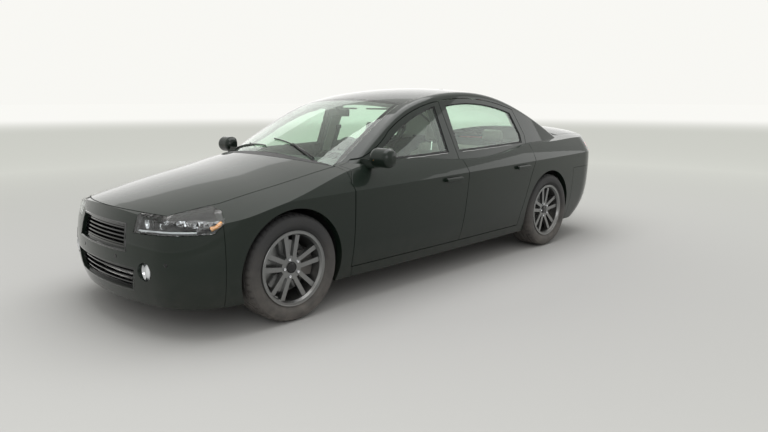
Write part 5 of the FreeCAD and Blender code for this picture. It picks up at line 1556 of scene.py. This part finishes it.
# %% Engine
def box_piece(name, xs, ys, zs, material, slot, inset, rise, radius):
    """A moulded box with a raised or sunk field on its top."""
    made = stepped(block(name, xs, ys, zs), 2, 1, (inset, rise))
    on_car(rounded(made, radius), material)


CAP = [(0.0, 0.026), (0.012, 0.026), (0.016, 0.022), (0.017, 0.010), (0.024, 0.009)]
CAP += [(0.025, 0.0001)]
engine_top = touch("engine", (1.5, 0, 1.2), DOWN)[0].z
places = [(x, y) for x in (1.28, 1.5, 1.72) for y in (-0.22, 0, 0.22)]
room = min(height_over("hood", x, y, 0.55, 0.82) for x, y in places) - engine_top
print("room over the engine:", round(room, 3))
high = engine_top + max(0.015, min(0.055, room - 0.02))
zs = (engine_top - 0.002, high)
cover_form = (black_plastic, "trim", 0.03, 0.004, 0.012)
box_piece("engine_cover", (1.27, 1.74), (-0.235, 0.235), zs, *cover_form)
ribs = []
for k in range(7):
    y = -0.15 + 0.05 * k
    ys, zs = (y - 0.006, y + 0.006), (high + 0.001, high + 0.009)
    ribs.append(rounded(block(f"cover_rib_{k}", (1.33, 1.68), ys, zs), 0.003, 2))
on_car(joined("engine_cover_ribs", *ribs), black_plastic)
on_car(upright("oil_filler_cap", CAP, (1.78, 0.14, engine_top), 28), black_plastic)
loop = ((-0.20, -0.01), (-0.20, 0.03), (-0.188, 0.042), (-0.176, 0.03), (-0.188, 0.02))
on_car(rod("dipstick", [(1.80, y, engine_top + z) for y, z in loop], 0.0035), amber)

# %% Battery, air box and tanks
POLE = [(-0.004, 0.012), (0.014, 0.010), (0.015, 0.0001)]
TANK_CAP = [(-0.01, 0.02), (0.004, 0.024), (0.016, 0.024), (0.02, 0.02), (0.021, 0.0001)]
PLASTIC, IRON = (black_plastic, "trim"), (cast_iron, "iron")
for box in (
    ("battery", (1.24, 1.42), (0.325, 0.495), (0.60, 0.765), *PLASTIC, 0.010, -0.003, 0.005),
    ("battery_tray", (1.225, 1.435), (0.31, 0.56), (0.585, 0.606), *IRON, 0.012, -0.002, 0.003),
    ("air_filter_box", (1.40, 1.66), (-0.50, -0.33), (0.63, 0.765), *PLASTIC, 0.02, 0.006, 0.012),
    ("air_box_bracket", (1.43, 1.63), (-0.56, -0.36), (0.612, 0.634), *IRON, 0.012, -0.002, 0.003),
):
    box_piece(*box)
poles = [
    upright(f"battery_pole_{k}", POLE, (1.27, y, 0.765), 20) for k, y in enumerate((0.355, 0.465))
]
on_car(joined("battery_poles", *poles), bare_steel)
routes = (
    [(1.27, 0.355, 0.775), (1.26, 0.34, 0.782), (1.235, 0.31, 0.775), (1.22, 0.285, 0.74)],
    [(1.27, 0.465, 0.775), (1.25, 0.50, 0.78), (1.23, 0.535, 0.75), (1.225, 0.545, 0.66)],
)
cables = [rod(f"battery_cable_{k}", route, 0.006) for k, route in enumerate(routes)]
on_car(joined("battery_cables", *cables), seal_rubber)
points = [(1.66, -0.42, 0.71), (1.72, -0.42, 0.715), (1.79, -0.36, 0.73), (1.82, -0.29, 0.735)]
on_car(rod("intake_hose", points, 0.032, sides=6), seal_rubber)
tanks = []
for number, (x, y) in enumerate(((1.62, 0.42), (1.30, -0.43))):
    xs, ys = (x - 0.075, x + 0.075), (y - 0.065, y + 0.065)
    tanks.append(rounded(block(f"tank_{number}", xs, ys, (0.62, 0.745)), 0.022, 4))
    on_car(upright(f"tank_cap_{number}", TANK_CAP, (x, y, 0.752), 28), black_plastic)
    xs, ys = (x - 0.03, x + 0.03), (y, math.copysign(0.56, y))
    bracket = block(f"tank_bracket_{number}", xs, ys, (0.606, 0.622))
    on_car(rounded(bracket, 0.004, 2), cast_iron)
on_car(joined("fluid_tanks", *tanks), frosted)

# %% Hoses, fan and felts
FAN_AT = (2.150, 0, 0.475)
FAN_RING = [(-0.02, 0.098), (0.025, 0.098), (0.03, 0.094), (0.025, 0.092), (-0.02, 0.092)]
FAN_RING += [(-0.02, 0.098)]
FAN_HUB = [(-0.02, 0.0001), (-0.02, 0.026), (0.012, 0.030), (0.016, 0.024), (0.017, 0.0001)]
route = ((1.905, 0.16, 0.70), (1.97, 0.17, 0.705), (2.06, 0.24, 0.66), (2.13, 0.30, 0.575))
route += ((2.19, 0.31, 0.555),)
hoses = [
    rod(f"coolant_hose_{number}", [(x, side * y, z) for x, y, z in route], 0.02, sides=5)
    for number, side in enumerate((1, -1))
]
on_car(joined("coolant_hoses", *hoses), seal_rubber)
fan = [lengthways("fan_ring", FAN_RING, FAN_AT, 48), lengthways("fan_hub", FAN_HUB, FAN_AT, 32)]
for k in range(7):
    blade = block(f"fan_blade_{k}", (-0.002, 0.002), (-0.016, 0.016), (0.024, 0.088))
    turn = Matrix.Rotation(2 * math.pi * k / 7, 4, "X") @ Matrix.Rotation(math.radians(28), 4, "Z")
    blade.data.transform(Matrix.Translation(FAN_AT) @ turn)
    fan.append(blade)
for k, zs in enumerate(((0.565, 0.578), (0.374, 0.387))):
    fan.append(block(f"fan_bar_{k}", (2.172, 2.190), (-0.37, 0.37), zs))
on_car(joined("radiator_fan", *fan), black_plastic)
lining("hood", "bonnet_felt", lambda c, n: n.z < -0.5, "hood_body", carpet, 0.003)
lining(
    "trunk_lid", "lid_felt", lambda c, n: n.z < -0.5 and n.x > -0.5, "trunk_body", carpet, 0.003
)

# %% Springs and dampers
COIL_R, WIRE_R, COIL_STEPS = 0.048, 0.0065, 14


def spring_set(name, x, y, low_z, high_z, turns, lean=0.0):
    """A coil round a damper between two seats, leaning inwards by lean metres at its top."""
    points = []
    for k in range(turns * COIL_STEPS + 1):
        share = k / (turns * COIL_STEPS)
        turn = 2 * math.pi * turns * share
        rise = 0.018 + (high_z - low_z - 0.036) * share
        off = Vector((COIL_R * math.cos(turn), COIL_R * math.sin(turn) - lean * share, rise))
        points.append(Vector((x, y, low_z)) + off)
    coil = rod(f"{name}_coil", points, WIRE_R)
    foot, axis = Vector((x, y, low_z)), Vector((0, -lean, high_z - low_z))
    tall, wide = axis.length, COIL_R + WIRE_R * 1.2
    axis.normalize()
    profile = [(0.0, 0.0001), (0.0, 0.026), (0.004, 0.027), (tall * 0.55, 0.027)]
    profile += [(tall * 0.56, 0.022), (tall * 0.57, 0.009), (tall, 0.009), (tall, 0.0001)]
    parts = [turned(f"{name}_damper", profile, foot, axis, X, 24)]
    for k, a in enumerate((0.004, tall - 0.012)):
        profile = [(a, 0.0001), (a, wide), (a + 0.008, wide), (a + 0.008, 0.0001)]
        parts.append(turned(f"{name}_seat_{k}", profile, foot, axis, X, 28))
    on_car(coil, seal_rubber)
    on_car(joined(f"{name}_damper_set", *parts), cast_iron)


for side_name, side in SIDES:
    y = side * 0.47
    arm = touch("front_subframe", (1.60, y, 0.50), DOWN)
    low_z = arm[0].z if arm else 0.19
    spring_set(f"front_{side_name}", 1.60, y, low_z, 0.655, 6, side * 0.02)
    y = side * 0.46
    arm = touch("rear_axle", (-1.42, y, 0.60), DOWN)
    low_z = arm[0].z if arm else 0.24
    high_z = height_over("floor_pan", -1.42, y, 0.30, 0)
    if high_z <= low_z + 0.1:
        high_z = low_z + 0.26
    print("rear spring", side_name, round(low_z, 3), round(high_z, 3))
    spring_set(f"rear_{side_name}", -1.42, y, low_z, high_z, 5)

# %% Exhaust tips
TIP = [(-0.03, 0.0345), (0.0, 0.0365), (0.036, 0.0375), (0.0385, 0.0368), (0.0395, 0.0352)]
TIP += [(0.036, 0.0335), (0.002, 0.0325), (0.001, 0.0001)]
# The dark disc deep in each tip is soot and also painted shade, standing for the dark pipe beyond the
# closed tip.
SOOT_AND_SHADE = [(0.0015, 0.0318), (0.0045, 0.030), (0.005, 0.0001)]
for side_name, side in SIDES:
    centre = (-2.362, side * 0.48, 0.29)
    on_car(lengthways(f"exhaust_tip_{side_name}", TIP, centre, 40, -1), chrome)
    on_car(lengthways(f"exhaust_soot_{side_name}", SOOT_AND_SHADE, centre, 32, -1), seal_rubber)


# %% Strips along the foot of the side glass
def door_edge(door, x, side):
    """The outer skin of a door just under its glass."""
    z = 1.02
    while z > 0.88:
        found = on_side(door, x, z, side)
        if found and abs(found[0].y) > 0.80:
            return found[0]
        z -= 0.004
    return None


def straightest(points):
    """The points that keep to the straight line through most of them, in height."""
    kept = list(points)
    for _ in range(6):
        n = len(kept)
        mx, mz = sum(p.x for p in kept) / n, sum(p.z for p in kept) / n
        slope = sum((p.x - mx) * (p.z - mz) for p in kept) / sum((p.x - mx) ** 2 for p in kept)
        off = [abs(p.z - mz - slope * (p.x - mx)) for p in kept]
        if max(off) < 0.006:
            break
        kept.pop(off.index(max(off)))
    return kept


for side_name, side in SIDES:
    for end, x0, x1 in (("front", 0.05, 0.84), ("rear", -0.98, -0.09)):
        door = f"door_{end}_{side_name}"
        found = [door_edge(door, x0 + (x1 - x0) * k / 21, side) for k in range(22)]
        points = straightest(p + Vector((0, 0, -0.004)) for p in found if p)
        belt_strip = rod(f"belt_strip_{end}_{side_name}", points, 0.003)
        finish_piece(belt_strip, f"{end}_door_{side_name}", dark_chrome)


# %% Painted shade in the gaps of the fuel flap and the towing eye's cover
def gap_shade_line(name, on_skin, centre, half):
    """A fine dark line round a flap, laid on the skin: painted shade for the gap."""
    points = []
    for k in range(32):
        turn = 2 * math.pi * k / 32
        a, b = [math.copysign(abs(v) ** 0.35, v) * half for v in (math.cos(turn), math.sin(turn))]
        found = on_skin(centre[0] + a, centre[1] + b)
        if found:
            points.append(found[0])
    # The dark rod is painted shade: it darkens the skin where the flap's gap lies.
    on_car(rod(name, points, 0.0013, closed=True, sides=1), seal_rubber)


gap_shade_line("fuel_flap_gap_shade", lambda x, z: on_side("body_side_right", x, z, -1), (-1.62, 0.845), 0.075)
gap_shade_line("tow_eye_cover_seam", lambda y, z: on_nose("front_bumper", y, z), (-0.60, 0.46), 0.032)

# %% Parking sensors, rear reflectors and roof aerial
SENSOR = [(-0.004, 0.0115), (0.0012, 0.0115), (0.0018, 0.0105), (0.0010, 0.0092)]
SENSOR += [(0.0020, 0.0085), (0.0022, 0.0001)]
sensors = []
for number, y in enumerate((-0.66, -0.24, 0.24, 0.66)):
    for label, found in (
        ("front", on_nose("front_bumper", y, 0.45)),
        ("rear", on_tail("rear_bumper", y, 0.47)),
    ):
        if found:
            axis = found[1].normalized()
            flat = axis.cross(Vector(UP)).normalized()
            sensors.append(turned(f"sensor_{label}_{number}", SENSOR, found[0], axis, flat, 24))
on_car(joined("parking_sensors", *sensors), gloss_black)
for side_name, side in SIDES:
    spot = on_tail("rear_bumper", side * 0.66, 0.36)
    ys, zs = (-0.062, 0.062), (-0.016, 0.016)
    reflector = block(f"rear_reflector_{side_name}", (-0.004, 0.002), ys, zs)
    stepped(round_edges(reflector, 0, 0.010, 4), 0, -1, (0.003, 0.001))
    on_car(on_face(reflector, *spot), red_guide)
z = on_top("roof_panel", -0.80, 0)[0].z
fin = block("roof_aerial", (-0.86, -0.74), (-0.018, 0.018), (z - 0.012, z + 0.028))
edit(fin)
choose(fin, lambda c, n: n.z > 0.9)
bpy.ops.transform.resize(value=(0.45, 0.35, 1.0))
bpy.ops.transform.translate(value=(-0.03, 0, 0))
leave()
on_car(rounded(fin, 0.006, 4), gloss_black)

# %% High brake lamp
glass_back = touch("rear_window", (-1.05, 0, 1.0), UP)
if glass_back:
    z = glass_back[0].z - 0.02
    brake_lamp = block("high_brake_lamp", (-1.075, -1.035), (-0.13, 0.13), (z - 0.026, z - 0.004))
    on_car(rounded(stepped(brake_lamp, 0, -1, (0.004, -0.002)), 0.003, 2), red_guide)

# %% The sizes of the finished car
low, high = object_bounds()
